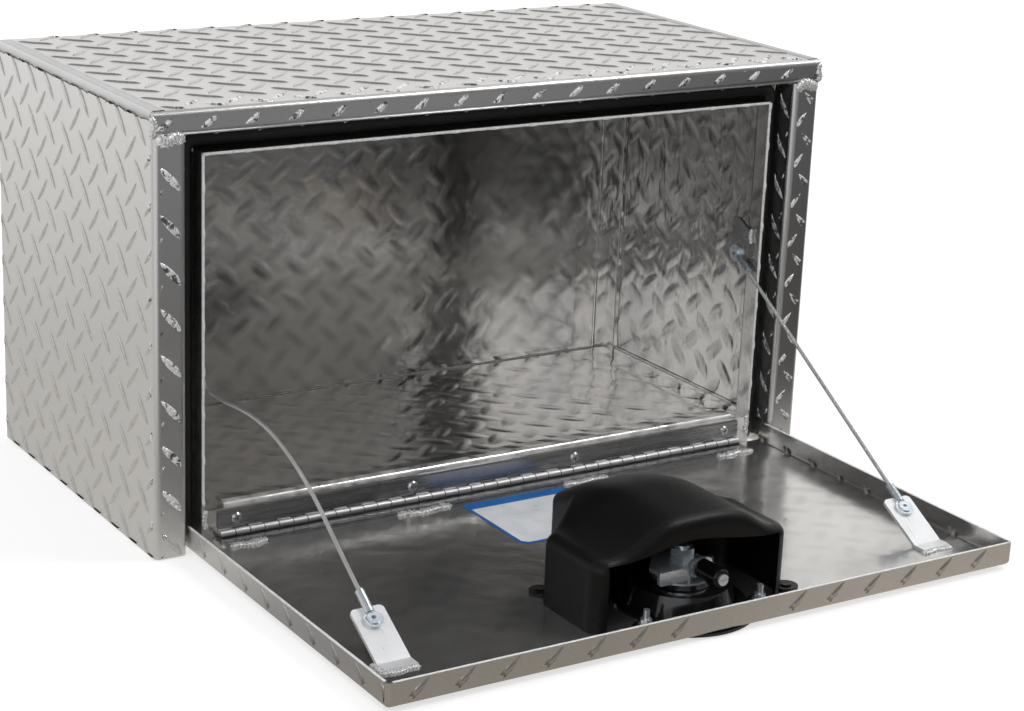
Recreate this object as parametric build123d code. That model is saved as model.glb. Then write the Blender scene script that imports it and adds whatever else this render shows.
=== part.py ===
from build123d import *
import os
from math import atan2, cos, exp, pi, radians, sin, tan

# Underbody truck tool box in diamond tread aluminium, drawn with its drop-down door open.
# Millimetres. The origin is the middle of the case's underside, +Z is up, and the door opens
# towards -Y. The open door lies level, so its outer face looks down.

# Case
CASE_W = 622.0
CASE_D = 318.0
CASE_H = 350.0
SHEET = 2.5
BEND_R = 5.0
FRONT = -CASE_D / 2
BACK = CASE_D / 2

# Door frame: a header and two jambs, folded back into a channel and forward into a lip
HEADER_H = 20.0
JAMB_W = 27.0
CHANNEL_W = 19.0
HEADER_CHANNEL_W = 18.0
CHANNEL_DEPTH = 29.0
LIP_SETBACK = 10.0

# Floor, its apron under the door opening, and the back panel's flanges
APRON_H = 34.0
APRON_RETURN = 16.0
APRON_NOTCH = 17.0
FLOOR_FLANGE_H = 12.0
BACK_FLANGE = 38.0
FLANGE_GAP = 2.0

# Continuous hinge
PIN_R = 1.6
PIN_CLEARANCE = 0.05
KNUCKLE_R = 3.5
KNUCKLE_SETOFF = 0.3
KNUCKLE_PITCH = 12.7
HINGE_SIDE_GAP = 28.0
KNUCKLE_GAP = 0.4
LEAF_T = 2.0
LEAF_W = 18.0
LEAF_NOTCH_GAP = 0.45
HINGE_Z = 9.0
SCREW_HEIGHT = 11.3
SCREW_FROM_END = 15.5
SCREW_COUNT = 4
SCREW_R = 2.4
SCREW_HEAD_R = 4.6
SCREW_HEAD_H = 2.3
SCREW_LENGTH = 9.0

# Door
DOOR_GAP = 1.5
DOOR_RIM = 19.0
DOOR_TAIL = 3.0
DOOR_EDGE_R = 4.0

# Rubber bulb seal in the frame's channel
SEAL_W = 12.5
SEAL_ROOT_R = 1.2
SEAL_CLEARANCE = 0.8
SEAL_BEND_R = 8.0
SEAL_END_Z = 4.0

# Latch
LATCH_FROM_EDGE = 58.0
FLANGE_R = 58.5
FLANGE_T = 2.2
EAR_R = 9.5
BOWL_R = 41.0
BOWL_FLOOR_R = 36.0
BOWL_DEPTH = 20.0
BOWL_WALL = 2.0
BOWL_HOLE_CLEARANCE = 0.6
BOSS_R = 24.0
BOSS_H = 3.0
STUD_X = 52.0
STUD_Y = 31.0
STUD_R = 2.5
STUD_HEIGHT = 17.0
STUD_CLEARANCE = 0.3
RING_T = 2.0
RING_R = 51.0
NUT_AF = 8.0
NUT_H = 4.2
NUT_FLANGE_R = 5.8
NUT_FLANGE_H = 1.2
THREAD_CLEARANCE = 0.05

# Latch shaft, cam bracket and roller
SHAFT_R = 6.0
SHAFT_CLEARANCE = 0.06
YOKE_R = 9.0
WASHER_R = 22.0
WASHER_T = 1.5
WASHER_HUB_R = 9.0
WASHER_HUB_H = 11.5
CAM_T = 3.0
CAM_LIP_H = 7.5
CAM_LIP_L = 26.0
CAM_LEFT = 36.0
CAM_RIGHT = 13.0
CAM_BACK = 15.0
CAM_FRONT = 23.0
CAM_EAR_W = 20.0
CAM_EAR_EDGE = 4.0
CAM_NOTCH_GAP = 0.8
CAM_NUT_AF = 17.0
CAM_NUT_H = 7.0
SHAFT_END = 2.0
ROLLER_R = 7.5
ROLLER_L = 25.0
ROLLER_X = 1.5
ROLLER_PIN_R = 3.0
PIN_HEAD_AF = 10.0
PIN_HEAD_H = 3.0
ROLLER_RUN_GAP = 0.4
ROLLER_CATCH_GAP = 0.5

# Folding T-handle and its lock
PIVOT_DEPTH = 11.0
PIVOT_R = 2.0
HANDLE_EYE_R = 5.5
HANDLE_EYE_W = 9.6
YOKE_SLOT_W = 10.4
HANDLE_REACH = 26.0
HANDLE_BAR_L = 45.0
HANDLE_BAR_R = 5.0
HANDLE_STEM_W = 9.0
HANDLE_STEM_T = 7.0
LOCK_R = 5.0
LOCK_L = 7.0
LOCK_BOSS_R = 7.5
LOCK_BOSS_T = 9.6
KEYWAY_W = 1.2
KEYWAY_L = 6.0
KEYWAY_DEPTH = 4.0

# Guard over the latch, inside the door, measured along the door from the latch's shaft
GUARD_X = -8.0
GUARD_HALF_W = 88.0
GUARD_NECK_HALF_W = 40.0
GUARD_BACK_HALF_W = 30.0
GUARD_FRONT = 29.0
GUARD_SHOULDER = 41.0
GUARD_NECK = 80.0
GUARD_BACK = 124.0
GUARD_SIDE_H = 56.0
GUARD_CROWN_H = 78.0
GUARD_SWELL_X = 6.0
GUARD_SWELL_HALF_W = 54.0
GUARD_FALL = 28.0
GUARD_WALL = 3.0
GUARD_CORNER_R = 14.0
GUARD_RIM_R = 9.0
GUARD_POST = 11.0
MOUTH_SIDE_H = 52.0
MOUTH_TOP_H = 60.5
GUARD_EAR_R = 9.5
GUARD_EAR_T = 3.0
GUARD_EAR_LEFT = (13.5, -3.0)
GUARD_EAR_RIGHT = (6.5, 10.0)
GUARD_RIVET_R = 2.0
ROOF_STEPS = 10

# Cable stays
ROPE_D = 3.2
TAB_T = 2.5
TAB_W = 27.0
TAB_FOOT = 12.0
TAB_LEG = 49.0
TAB_FROM_SIDE = 37.5
TAB_FROM_EDGE = 57.5
TAB_RIVET_RUN = 37.0
ANCHOR_DROP = 138.0
ANCHOR_DEPTH = 37.0
ANCHOR_FRONT = 20.0
ANCHOR_BACK = 46.0
ANCHOR_RISE = 32.0
RIVET_R = 3.0
RIVET_BORE_R = 1.7
RIVET_HEAD_R = 5.2
RIVET_HEAD_T = 1.2
EYE_R = 7.5
EYE_T = 2.4
EYE_CLEARANCE = 0.05
BARREL_R = 3.6
BARREL_START = 5.7
BARREL_END = 24.0

# Worked out from the sizes above
SIDE_INNER_X = CASE_W / 2 - SHEET
JAMB_EDGE_X = CASE_W / 2 - JAMB_W
LIP_FACE_X = JAMB_EDGE_X - CHANNEL_W
HEADER_EDGE_Z = CASE_H - HEADER_H
HEADER_LIP_Z = HEADER_EDGE_Z - HEADER_CHANNEL_W
CHANNEL_FLOOR_Y = FRONT + CHANNEL_DEPTH - SHEET
KNUCKLE_OFFSET = KNUCKLE_R + KNUCKLE_SETOFF
HINGE_Y = FRONT + SHEET + KNUCKLE_OFFSET
APRON_Y = HINGE_Y + KNUCKLE_OFFSET
DOOR_Z0 = HINGE_Z - (HINGE_Y - FRONT)
DOOR_Z1 = DOOR_Z0 + SHEET
DOOR_HALF_W = JAMB_EDGE_X - DOOR_GAP
KNUCKLE_COUNT = 2 * int((DOOR_HALF_W - HINGE_SIDE_GAP) / KNUCKLE_PITCH)
HINGE_L = KNUCKLE_PITCH * KNUCKLE_COUNT
DOOR_TAIL_Y = HINGE_Y + DOOR_TAIL
DOOR_FREE_Y = HINGE_Y - (HEADER_EDGE_Z - DOOR_GAP - HINGE_Z)
LATCH_Y = DOOR_FREE_Y + LATCH_FROM_EDGE
BOWL_FLOOR_Z = DOOR_Z0 - FLANGE_T + BOWL_DEPTH
BOSS_TOP_Z = BOWL_FLOOR_Z + BOWL_WALL + BOSS_H
CAM_Z = BOSS_TOP_Z + WASHER_T + WASHER_HUB_H
PIVOT_Z = DOOR_Z0 - FLANGE_T + PIVOT_DEPTH
# With the door shut the roller stands behind the header's channel, a small gap clear of it
ROLLER_Z = HINGE_Z + (FRONT + CHANNEL_DEPTH + ROLLER_CATCH_GAP + ROLLER_R - HINGE_Y)
RING_TOP_Z = DOOR_Z1 + RING_T
TAB_X = DOOR_HALF_W - TAB_FROM_SIDE
TAB_BEND_Y = DOOR_FREE_Y + TAB_FROM_EDGE
ANCHOR_Y = FRONT + ANCHOR_DEPTH
ANCHOR_Z = HEADER_LIP_Z - ANCHOR_DROP
ANCHOR_X = LIP_FACE_X - TAB_T - EYE_T / 2


def block(x0, x1, y0, y1, z0, z1):
    """A box between two corners."""
    size = (x1 - x0, y1 - y0, z1 - z0)
    return Pos((x0 + x1) / 2, (y0 + y1) / 2, (z0 + z1) / 2) * Box(*size)


def rod(start, end, radius):
    """A round bar from one point to another."""
    start, end = Vector(*start), Vector(*end)
    along = end - start
    plane = Plane(origin=start, z_dir=along)
    return extrude(plane * Circle(radius), amount=along.length)


def hexagon(across_flats):
    """A hexagon's face, by its size across the flats."""
    return RegularPolygon(across_flats / 2, 6, major_radius=False)


def mirrored(part):
    """The same part on the other side of the box."""
    return mirror(part, about=Plane.YZ)


def group(parts):
    """Separate solids that share one node."""
    return Compound(children=list(parts))


def folded_face(points, side):
    """The section of a sheet folded along points, with its thickness on the side given:
    +1 to the left of the path, -1 to its right. Each bend keeps the same outside radius."""
    path = [Vector(x, y) for x, y in points]
    runs = [(b - a).normalized() for a, b in zip(path, path[1:])]
    normals = [Vector(-r.Y, r.X) * side for r in runs]
    inner, path_radii, inner_radii = [path[0] + normals[0] * SHEET], [], []
    for here, before, after, n0, n1 in zip(path[1:-1], runs, runs[1:], normals, normals[1:]):
        inner.append(here + (n0 + n1) * SHEET)
        turn = (before.X * after.Y - before.Y * after.X) * side
        path_radii.append(BEND_R if turn > 0 else BEND_R - SHEET)
        inner_radii.append(BEND_R - SHEET if turn > 0 else BEND_R)
    inner.append(path[-1] + normals[-1] * SHEET)
    outside = FilletPolyline(*path, radius=path_radii)
    inside = FilletPolyline(*inner, radius=inner_radii)
    ends = [Line(path[0], inner[0]), Line(path[-1], inner[-1])]
    return make_face(outside.edges() + inside.edges() + ends)


def frame_path(outer, edge, lip):
    """The frame's fold in its own plane, from the outer face round to the free edge of the lip.
    Each value is a distance across the front; the second number of a point is the depth."""
    return [
        (outer, FRONT),
        (edge, FRONT),
        (edge, CHANNEL_FLOOR_Y),
        (lip, CHANNEL_FLOOR_Y),
        (lip, FRONT + LIP_SETBACK),
    ]


# Case

def top_panel():
    """The lid of the case, folded down into the header and back into the door frame."""
    lip_top = HEADER_LIP_Z + SHEET
    fold = [(depth, height) for height, depth in frame_path(CASE_H, HEADER_EDGE_Z, lip_top)]
    section = Plane.YZ * folded_face([(BACK, CASE_H)] + fold, side=1)
    panel = extrude(section, amount=CASE_W / 2, both=True)
    frame_half_w = LIP_FACE_X + SHEET
    for x0, x1 in ((-CASE_W, -frame_half_w), (frame_half_w, CASE_W)):
        panel -= block(x0, x1, FRONT - SHEET, BACK, 0, HEADER_EDGE_Z)
    for x0, x1 in ((-CASE_W, -SIDE_INNER_X), (SIDE_INNER_X, CASE_W)):
        panel -= block(x0, x1, FRONT + SHEET, BACK, HEADER_EDGE_Z, CASE_H - BEND_R)
    return panel


def side_panel(top):
    """The left side, folded round its front corner into the jamb, the seal's channel and the lip."""
    lip_x = -LIP_FACE_X - SHEET
    fold = frame_path(-CASE_W / 2, -JAMB_EDGE_X, lip_x)
    section = folded_face([(-CASE_W / 2, BACK)] + fold, side=1)
    panel = extrude(section, amount=CASE_H - SHEET)
    panel -= block(-CASE_W / 2 + SHEET, 0, FRONT - SHEET, BACK, HEADER_EDGE_Z, CASE_H)
    panel -= block(lip_x, 0, FRONT - SHEET, BACK, HEADER_LIP_Z, CASE_H)
    panel -= block(lip_x - BEND_R, 0, FRONT - SHEET, CHANNEL_FLOOR_Y, HEADER_LIP_Z, CASE_H)
    panel -= block(-CASE_W, 0, FRONT - SHEET, FRONT + SHEET, HEADER_EDGE_Z, CASE_H)
    return panel - top


def back_panel():
    """The back, with a flange along each end that is welded to the side."""
    path = [
        (-SIDE_INNER_X, BACK - BACK_FLANGE),
        (-SIDE_INNER_X, BACK),
        (SIDE_INNER_X, BACK),
        (SIDE_INNER_X, BACK - BACK_FLANGE),
    ]
    section = folded_face(path, side=-1)
    return Pos(0, 0, SHEET) * extrude(section, amount=CASE_H - 2 * SHEET)


def floor_panel():
    """The floor, folded up into the apron and back into a stiffening return, with side flanges."""
    path = [
        (BACK, 0),
        (APRON_Y, 0),
        (APRON_Y, APRON_H),
        (APRON_Y + APRON_RETURN, APRON_H),
    ]
    section = Plane.YZ * folded_face(path, side=-1)
    floor = extrude(section, amount=SIDE_INNER_X, both=True)
    flange_y0 = FRONT + CHANNEL_DEPTH + FLANGE_GAP
    flange_y1 = BACK - BACK_FLANGE - FLANGE_GAP
    notch_x = LIP_FACE_X - APRON_NOTCH
    for s in (-1, 1):
        x0, x1 = sorted((s * LIP_FACE_X, s * CASE_W))
        floor -= block(x0, x1, FRONT, FRONT + CHANNEL_DEPTH, -SHEET, CASE_H)
        x0, x1 = sorted((s * LIP_FACE_X, s * CASE_W))
        floor -= block(x0, x1, FRONT, BACK, SHEET, CASE_H)
        x0, x1 = sorted((s * notch_x, s * CASE_W))
        floor -= block(x0, x1, FRONT, BACK, APRON_H - BEND_R, CASE_H)
        x0, x1 = sorted((s * SIDE_INNER_X, s * (SIDE_INNER_X - SHEET)))
        floor += block(x0, x1, flange_y0, flange_y1, 0, FLOOR_FLANGE_H)
    for x in screw_places():
        hole_z = HINGE_Z + SCREW_HEIGHT
        floor -= rod((x, APRON_Y - 1, hole_z), (x, APRON_Y + SHEET + 1, hole_z), SCREW_R)
    return floor


def door_seal():
    """One length of bulb seal up the left jamb, along the header and down the right jamb."""
    x = (JAMB_EDGE_X + LIP_FACE_X + SHEET) / 2
    z = (HEADER_EDGE_Z + HEADER_LIP_Z + SHEET) / 2
    route = [(-x, 0, SEAL_END_Z), (-x, 0, z), (x, 0, z), (x, 0, SEAL_END_Z)]
    path = Pos(0, CHANNEL_FLOOR_Y, 0) * FilletPolyline(*route, radius=SEAL_BEND_R)
    depth = CHANNEL_FLOOR_Y - (FRONT + DOOR_RIM + SEAL_CLEARANCE)
    bulb = Pos(0, -depth / 2) * Rectangle(SEAL_W, depth)
    bulb = fillet(bulb.vertices().group_by(Axis.Y)[-1], radius=SEAL_ROOT_R)
    bulb = fillet(bulb.vertices().group_by(Axis.Y)[0], radius=depth - SEAL_ROOT_R - 0.3)
    return sweep(Plane(origin=(-x, CHANNEL_FLOOR_Y, SEAL_END_Z), z_dir=(0, 0, 1)) * bulb, path=path)


# Continuous hinge

def screw_places():
    """The screws' places across the apron."""
    first = HINGE_L / 2 - SCREW_FROM_END
    spacing = 2 * first / (SCREW_COUNT - 1)
    return [-first + spacing * i for i in range(SCREW_COUNT)]


def knuckle_span(index):
    """The two ends of one knuckle along the pin."""
    start = -HINGE_L / 2 + KNUCKLE_PITCH * index
    return start + KNUCKLE_GAP / 2, start + KNUCKLE_PITCH - KNUCKLE_GAP / 2


def hinge_leaf(first, plate, tongue):
    """A leaf and every second knuckle. plate is the leaf's box; tongue(x0, x1) joins a knuckle to it."""
    leaf = plate
    for index in range(first, KNUCKLE_COUNT, 2):
        x0, x1 = knuckle_span(index)
        leaf += rod((x0, HINGE_Y, HINGE_Z), (x1, HINGE_Y, HINGE_Z), KNUCKLE_R)
        leaf += tongue(x0, x1)
    bore = PIN_R + PIN_CLEARANCE
    return leaf - rod((-HINGE_L, HINGE_Y, HINGE_Z), (HINGE_L, HINGE_Y, HINGE_Z), bore)


def hinge_case_leaf():
    """The upper leaf, which stands on the apron and takes the screws."""
    start = HINGE_Z + KNUCKLE_R + LEAF_NOTCH_GAP
    y0 = APRON_Y - LEAF_T
    plate = block(-HINGE_L / 2, HINGE_L / 2, y0, APRON_Y, start, HINGE_Z + LEAF_W)

    def tongue(x0, x1):
        return block(x0, x1, y0, APRON_Y, HINGE_Z, start)

    leaf = hinge_leaf(0, plate, tongue)
    for x in screw_places():
        hole_z = HINGE_Z + SCREW_HEIGHT
        leaf -= rod((x, y0 - 1, hole_z), (x, APRON_Y + 1, hole_z), SCREW_R)
    return leaf


def hinge_door_leaf():
    """The lower leaf, which lies on the door's inner face."""
    start = HINGE_Y - KNUCKLE_R - LEAF_NOTCH_GAP
    z1 = DOOR_Z1 + LEAF_T
    plate = block(-HINGE_L / 2, HINGE_L / 2, HINGE_Y - LEAF_W, start, DOOR_Z1, z1)

    def tongue(x0, x1):
        return block(x0, x1, start, HINGE_Y, DOOR_Z1, z1)

    return hinge_leaf(1, plate, tongue)


def hinge_pin():
    """The pin through all the knuckles."""
    return rod((-HINGE_L / 2, HINGE_Y, HINGE_Z), (HINGE_L / 2, HINGE_Y, HINGE_Z), PIN_R)


def hinge_screws():
    """Button-head screws through the upper leaf and the apron."""
    screws = []
    z = HINGE_Z + SCREW_HEIGHT
    seat = APRON_Y - LEAF_T
    for x in screw_places():
        shank = rod((x, seat, z), (x, seat + SCREW_LENGTH, z), SCREW_R - THREAD_CLEARANCE)
        head = rod((x, seat, z), (x, seat - SCREW_HEAD_H, z), SCREW_HEAD_R)
        rim = head.faces().sort_by(Axis.Y)[0].edges()
        head = chamfer(rim, length=SCREW_HEAD_H * 0.6)
        slot_w = SCREW_HEAD_R / 4
        slot_y = seat - SCREW_HEAD_H * 0.5
        arm = SCREW_HEAD_R * 0.5
        head -= block(x - arm, x + arm, seat - SCREW_HEAD_H, slot_y, z - slot_w / 2, z + slot_w / 2)
        head -= block(x - slot_w / 2, x + slot_w / 2, seat - SCREW_HEAD_H, slot_y, z - arm, z + arm)
        screws.append(shank + head)
    return group(screws)


# Door

def door_pan():
    """The door's sheet with its rim on three sides, open along the hinge."""
    pan = block(-DOOR_HALF_W, DOOR_HALF_W, DOOR_FREE_Y, DOOR_TAIL_Y, DOOR_Z0, DOOR_Z0 + DOOR_RIM)
    corners = pan.edges().filter_by(Axis.Z).group_by(Axis.Y)[0]
    pan = fillet(corners, radius=DOOR_EDGE_R)
    bottom = pan.faces().sort_by(Axis.Z)[0].edges()
    pan = fillet(bottom - bottom.group_by(Axis.Y)[-1], radius=DOOR_EDGE_R)
    inner_half_w = DOOR_HALF_W - SHEET
    top = DOOR_Z0 + DOOR_RIM
    hollow = block(-inner_half_w, inner_half_w, DOOR_FREE_Y + SHEET, DOOR_TAIL_Y + 1, DOOR_Z1, top + 1)
    inner_r = DOOR_EDGE_R - SHEET
    hollow = fillet(hollow.edges().filter_by(Axis.Z).group_by(Axis.Y)[0], radius=inner_r)
    floor_edges = hollow.faces().sort_by(Axis.Z)[0].edges()
    hollow = fillet(floor_edges - floor_edges.group_by(Axis.Y)[-1], radius=inner_r)
    pan -= hollow
    hole_r = BOWL_R + BOWL_WALL + BOWL_HOLE_CLEARANCE
    pan -= rod((0, LATCH_Y, DOOR_Z0 - 1), (0, LATCH_Y, DOOR_Z1 + 1), hole_r)
    for x, y in stud_places():
        pan -= rod((x, y, DOOR_Z0 - 1), (x, y, DOOR_Z1 + 1), STUD_R + STUD_CLEARANCE)
    for x, y in guard_ears():
        x, y = x + GUARD_X, y + LATCH_Y
        pan -= rod((x, y, DOOR_Z0 - 1), (x, y, DOOR_Z1 + 1), GUARD_RIVET_R)
    return pan


# Latch

def stud_places():
    """The four studs round the latch."""
    return [(sx * STUD_X, LATCH_Y + sy * STUD_Y) for sx in (-1, 1) for sy in (-1, 1)]


def eared_disc(radius, z0, thickness):
    """A disc round the latch with an ear at each stud."""
    disc = rod((0, LATCH_Y, z0), (0, LATCH_Y, z0 + thickness), radius)
    for x, y in stud_places():
        disc += rod((x, y, z0), (x, y, z0 + thickness), EAR_R)
    return disc


def clamp_ring():
    """The ring inside the door that clamps it against the bowl's flange."""
    ring = eared_disc(RING_R, DOOR_Z1, RING_T)
    hole_r = BOWL_R + BOWL_WALL + BOWL_HOLE_CLEARANCE
    ring -= rod((0, LATCH_Y, DOOR_Z1 - 1), (0, LATCH_Y, RING_TOP_Z + 1), hole_r)
    for x, y in stud_places():
        ring -= rod((x, y, DOOR_Z1 - 1), (x, y, RING_TOP_Z + 1), STUD_R + STUD_CLEARANCE)
    return ring


def latch_bowl():
    """The flush bowl that the handle folds into, with its outside flange and the shaft's boss."""
    z0 = DOOR_Z0 - FLANGE_T
    plate = eared_disc(FLANGE_R, z0, FLANGE_T)
    back_z = BOWL_FLOOR_Z + BOWL_WALL
    outer_mouth_r = BOWL_R + BOWL_WALL
    outer_floor_r = BOWL_FLOOR_R + BOWL_WALL
    wall = [
        (0, z0),
        (outer_mouth_r, z0),
        (outer_mouth_r, DOOR_Z1),
        (outer_floor_r, back_z),
        (BOSS_R, back_z),
        (BOSS_R - 2, BOSS_TOP_Z),
        (0, BOSS_TOP_Z),
    ]
    body = revolve(Plane.XZ * make_face(Polyline(*wall, close=True)), axis=Axis.Z)
    below = z0 - 1
    recess = [(0, below), (BOWL_R, below), (BOWL_R, z0), (BOWL_FLOOR_R, BOWL_FLOOR_Z), (0, BOWL_FLOOR_Z)]
    hollow = revolve(Plane.XZ * make_face(Polyline(*recess, close=True)), axis=Axis.Z)
    bore = rod((0, 0, z0 - 1), (0, 0, BOSS_TOP_Z + 1), SHAFT_R + SHAFT_CLEARANCE)
    return plate + Pos(0, LATCH_Y, 0) * body - Pos(0, LATCH_Y, 0) * (hollow + bore)


def latch_studs():
    """The studs that stand on the flange and pass through the door and the clamp ring."""
    return group(rod((x, y, DOOR_Z0), (x, y, DOOR_Z0 + STUD_HEIGHT), STUD_R) for x, y in stud_places())


def latch_nuts():
    """A flange nut on each stud, down on the clamp ring."""
    nuts = []
    seat = RING_TOP_Z
    for x, y in stud_places():
        nut = Pos(x, y, seat) * extrude(hexagon(NUT_AF), amount=NUT_FLANGE_H + NUT_H)
        nut += rod((x, y, seat), (x, y, seat + NUT_FLANGE_H), NUT_FLANGE_R)
        nut -= rod((x, y, seat - 1), (x, y, seat + NUT_H * 2), STUD_R + THREAD_CLEARANCE)
        nuts.append(nut)
    return group(nuts)


def latch_shaft():
    """The shaft through the bowl, with a yoke for the handle at its outer end."""
    top = CAM_Z + CAM_T + CAM_NUT_H + SHAFT_END
    shaft = rod((0, LATCH_Y, BOWL_FLOOR_Z - 1), (0, LATCH_Y, top), SHAFT_R)
    yoke_bottom = PIVOT_Z - HANDLE_EYE_R
    yoke_top = BOWL_FLOOR_Z - 0.3
    shaft += rod((0, LATCH_Y, yoke_bottom), (0, LATCH_Y, yoke_top), YOKE_R)
    slot_half = YOKE_SLOT_W / 2
    slot_top = PIVOT_Z + HANDLE_EYE_R + ROLLER_RUN_GAP
    slot_y0, slot_y1 = LATCH_Y - YOKE_R - 1, LATCH_Y + YOKE_R + 1
    shaft -= block(-slot_half, slot_half, slot_y0, slot_y1, yoke_bottom - 1, slot_top)
    shaft -= rod((-YOKE_R - 1, LATCH_Y, PIVOT_Z), (YOKE_R + 1, LATCH_Y, PIVOT_Z), PIVOT_R)
    return shaft


def cam_washer():
    """The wide zinc washer on the bowl's boss, with the hub that carries the cam."""
    ring = rod((0, LATCH_Y, BOSS_TOP_Z), (0, LATCH_Y, BOSS_TOP_Z + WASHER_T), WASHER_R)
    ring += rod((0, LATCH_Y, BOSS_TOP_Z), (0, LATCH_Y, CAM_Z), WASHER_HUB_R)
    return ring - rod((0, LATCH_Y, BOSS_TOP_Z - 1), (0, LATCH_Y, CAM_Z + 1), SHAFT_R + THREAD_CLEARANCE)


def cam_bracket():
    """The pressed cam: a plate with its front edge bent down and an ear for the roller's pin."""
    front_y = LATCH_Y - CAM_FRONT
    back_y = LATCH_Y + CAM_BACK
    outline = [
        (-CAM_LEFT, front_y),
        (CAM_RIGHT, front_y),
        (CAM_RIGHT, LATCH_Y + CAM_BACK / 2),
        (0, back_y),
        (-CAM_LEFT * 0.45, back_y),
        (-CAM_LEFT, LATCH_Y - CAM_FRONT * 0.4),
    ]
    plate = Pos(0, 0, CAM_Z) * extrude(make_face(Polyline(*outline, close=True)), amount=CAM_T)
    plate = fillet(plate.edges().filter_by(Axis.Z).group_by(Axis.Y)[-1], radius=4)
    notch_half = PIN_HEAD_AF * 0.58 + CAM_NOTCH_GAP
    notch_y1 = front_y + CAM_T + PIN_HEAD_H + CAM_NOTCH_GAP
    notch_x0, notch_x1 = ROLLER_X - notch_half, ROLLER_X + notch_half
    plate -= block(notch_x0, notch_x1, front_y + CAM_T, notch_y1, CAM_Z - 1, CAM_Z + CAM_T + 1)
    ear_r = ROLLER_PIN_R + CAM_EAR_EDGE
    ear_x0, ear_x1 = ROLLER_X - CAM_EAR_W / 2, ROLLER_X + CAM_EAR_W / 2
    ear = block(ear_x0, ear_x1, front_y, front_y + CAM_T, ROLLER_Z - ear_r, ROLLER_Z + ear_r)
    ear = fillet(ear.edges().filter_by(Axis.Y), radius=ear_r * 0.7)
    ear_y1 = front_y + CAM_T
    lip = block(-CAM_LEFT, CAM_LIP_L - CAM_LEFT, front_y, ear_y1, CAM_Z - CAM_LIP_H, CAM_Z + CAM_T)
    lip = fillet(lip.edges().filter_by(Axis.Y).group_by(Axis.Z)[0], radius=2)
    bracket = plate + ear + lip
    bracket -= rod((ROLLER_X, front_y - 1, ROLLER_Z), (ROLLER_X, ear_y1 + 1, ROLLER_Z), ROLLER_PIN_R)
    bore_r = SHAFT_R + THREAD_CLEARANCE
    return bracket - rod((0, LATCH_Y, CAM_Z - 1), (0, LATCH_Y, CAM_Z + CAM_T + 1), bore_r)


def cam_nut():
    """The nut that holds the cam on its shaft."""
    nut = Pos(0, LATCH_Y, CAM_Z + CAM_T) * extrude(hexagon(CAM_NUT_AF), amount=CAM_NUT_H)
    bore_r = SHAFT_R + THREAD_CLEARANCE
    return nut - rod((0, LATCH_Y, CAM_Z), (0, LATCH_Y, CAM_Z + CAM_T + CAM_NUT_H + 1), bore_r)


def roller_pin():
    """The roller's bolt: head behind the cam's ear, slotted end through the roller."""
    ear_y = LATCH_Y - CAM_FRONT
    tip_y = ear_y - ROLLER_L - 2 * ROLLER_RUN_GAP - 1.6
    pin = rod((ROLLER_X, ear_y + CAM_T, ROLLER_Z), (ROLLER_X, tip_y, ROLLER_Z), ROLLER_PIN_R)
    head_y = ear_y + CAM_T + PIN_HEAD_H
    head = extrude(hexagon(PIN_HEAD_AF), amount=PIN_HEAD_H)
    head = Pos(ROLLER_X, head_y, ROLLER_Z) * Rot(90, 0, 0) * head
    cap_y = tip_y + 1.6
    cap = rod((ROLLER_X, cap_y, ROLLER_Z), (ROLLER_X, tip_y, ROLLER_Z), ROLLER_PIN_R + 1.4)
    slot = block(ROLLER_X - 5, ROLLER_X + 5, tip_y - 1, tip_y + 0.8, ROLLER_Z - 0.6, ROLLER_Z + 0.6)
    return pin + head + cap - slot


def cam_roller():
    """The hard black roller that catches behind the header."""
    y1 = LATCH_Y - CAM_FRONT - ROLLER_RUN_GAP
    y0 = y1 - ROLLER_L
    roller = rod((ROLLER_X, y1, ROLLER_Z), (ROLLER_X, y0, ROLLER_Z), ROLLER_R)
    rims = roller.edges().filter_by(GeomType.CIRCLE)
    roller = chamfer(rims, length=1.2)
    bore = rod((ROLLER_X, y1 + 1, ROLLER_Z), (ROLLER_X, y0 - 1, ROLLER_Z), ROLLER_PIN_R + PIN_CLEARANCE)
    return roller - bore


def handle_pivot():
    """The cross pin that the handle folds on."""
    return rod((-YOKE_R + 0.3, LATCH_Y, PIVOT_Z), (YOKE_R - 0.3, LATCH_Y, PIVOT_Z), PIVOT_R)


def t_handle():
    """The folding T-handle, lying in its bowl."""
    bar_y = LATCH_Y + HANDLE_REACH
    half_w = HANDLE_EYE_W / 2
    handle = rod((-half_w, LATCH_Y, PIVOT_Z), (half_w, LATCH_Y, PIVOT_Z), HANDLE_EYE_R)
    half_t = HANDLE_STEM_T / 2
    half_stem = HANDLE_STEM_W / 2
    handle += block(-half_stem, half_stem, LATCH_Y, bar_y, PIVOT_Z - half_t, PIVOT_Z + half_t)
    bar_half = HANDLE_BAR_L / 2
    bar = rod((-bar_half, bar_y, PIVOT_Z), (bar_half, bar_y, PIVOT_Z), HANDLE_BAR_R)
    handle += chamfer(bar.edges().filter_by(GeomType.CIRCLE), length=HANDLE_BAR_R * 0.35)
    boss_z0 = PIVOT_Z - LOCK_BOSS_T / 2
    handle += rod((0, bar_y, boss_z0), (0, bar_y, boss_z0 + LOCK_BOSS_T), LOCK_BOSS_R)
    handle -= rod((0, bar_y, boss_z0 - 1), (0, bar_y, boss_z0 + LOCK_L), LOCK_R + SHAFT_CLEARANCE)
    bore = PIVOT_R + PIN_CLEARANCE
    return handle - rod((-half_w - 1, LATCH_Y, PIVOT_Z), (half_w + 1, LATCH_Y, PIVOT_Z), bore)


def lock_cylinder():
    """The key cylinder in the handle's hub, with its keyway."""
    bar_y = LATCH_Y + HANDLE_REACH
    z0 = PIVOT_Z - LOCK_BOSS_T / 2
    plug = rod((0, bar_y, z0), (0, bar_y, z0 + LOCK_L), LOCK_R)
    half_l, half_w = KEYWAY_L / 2, KEYWAY_W / 2
    return plug - block(-half_w, half_w, bar_y - half_l, bar_y + half_l, z0 - 1, z0 + KEYWAY_DEPTH)


# Guard

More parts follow.
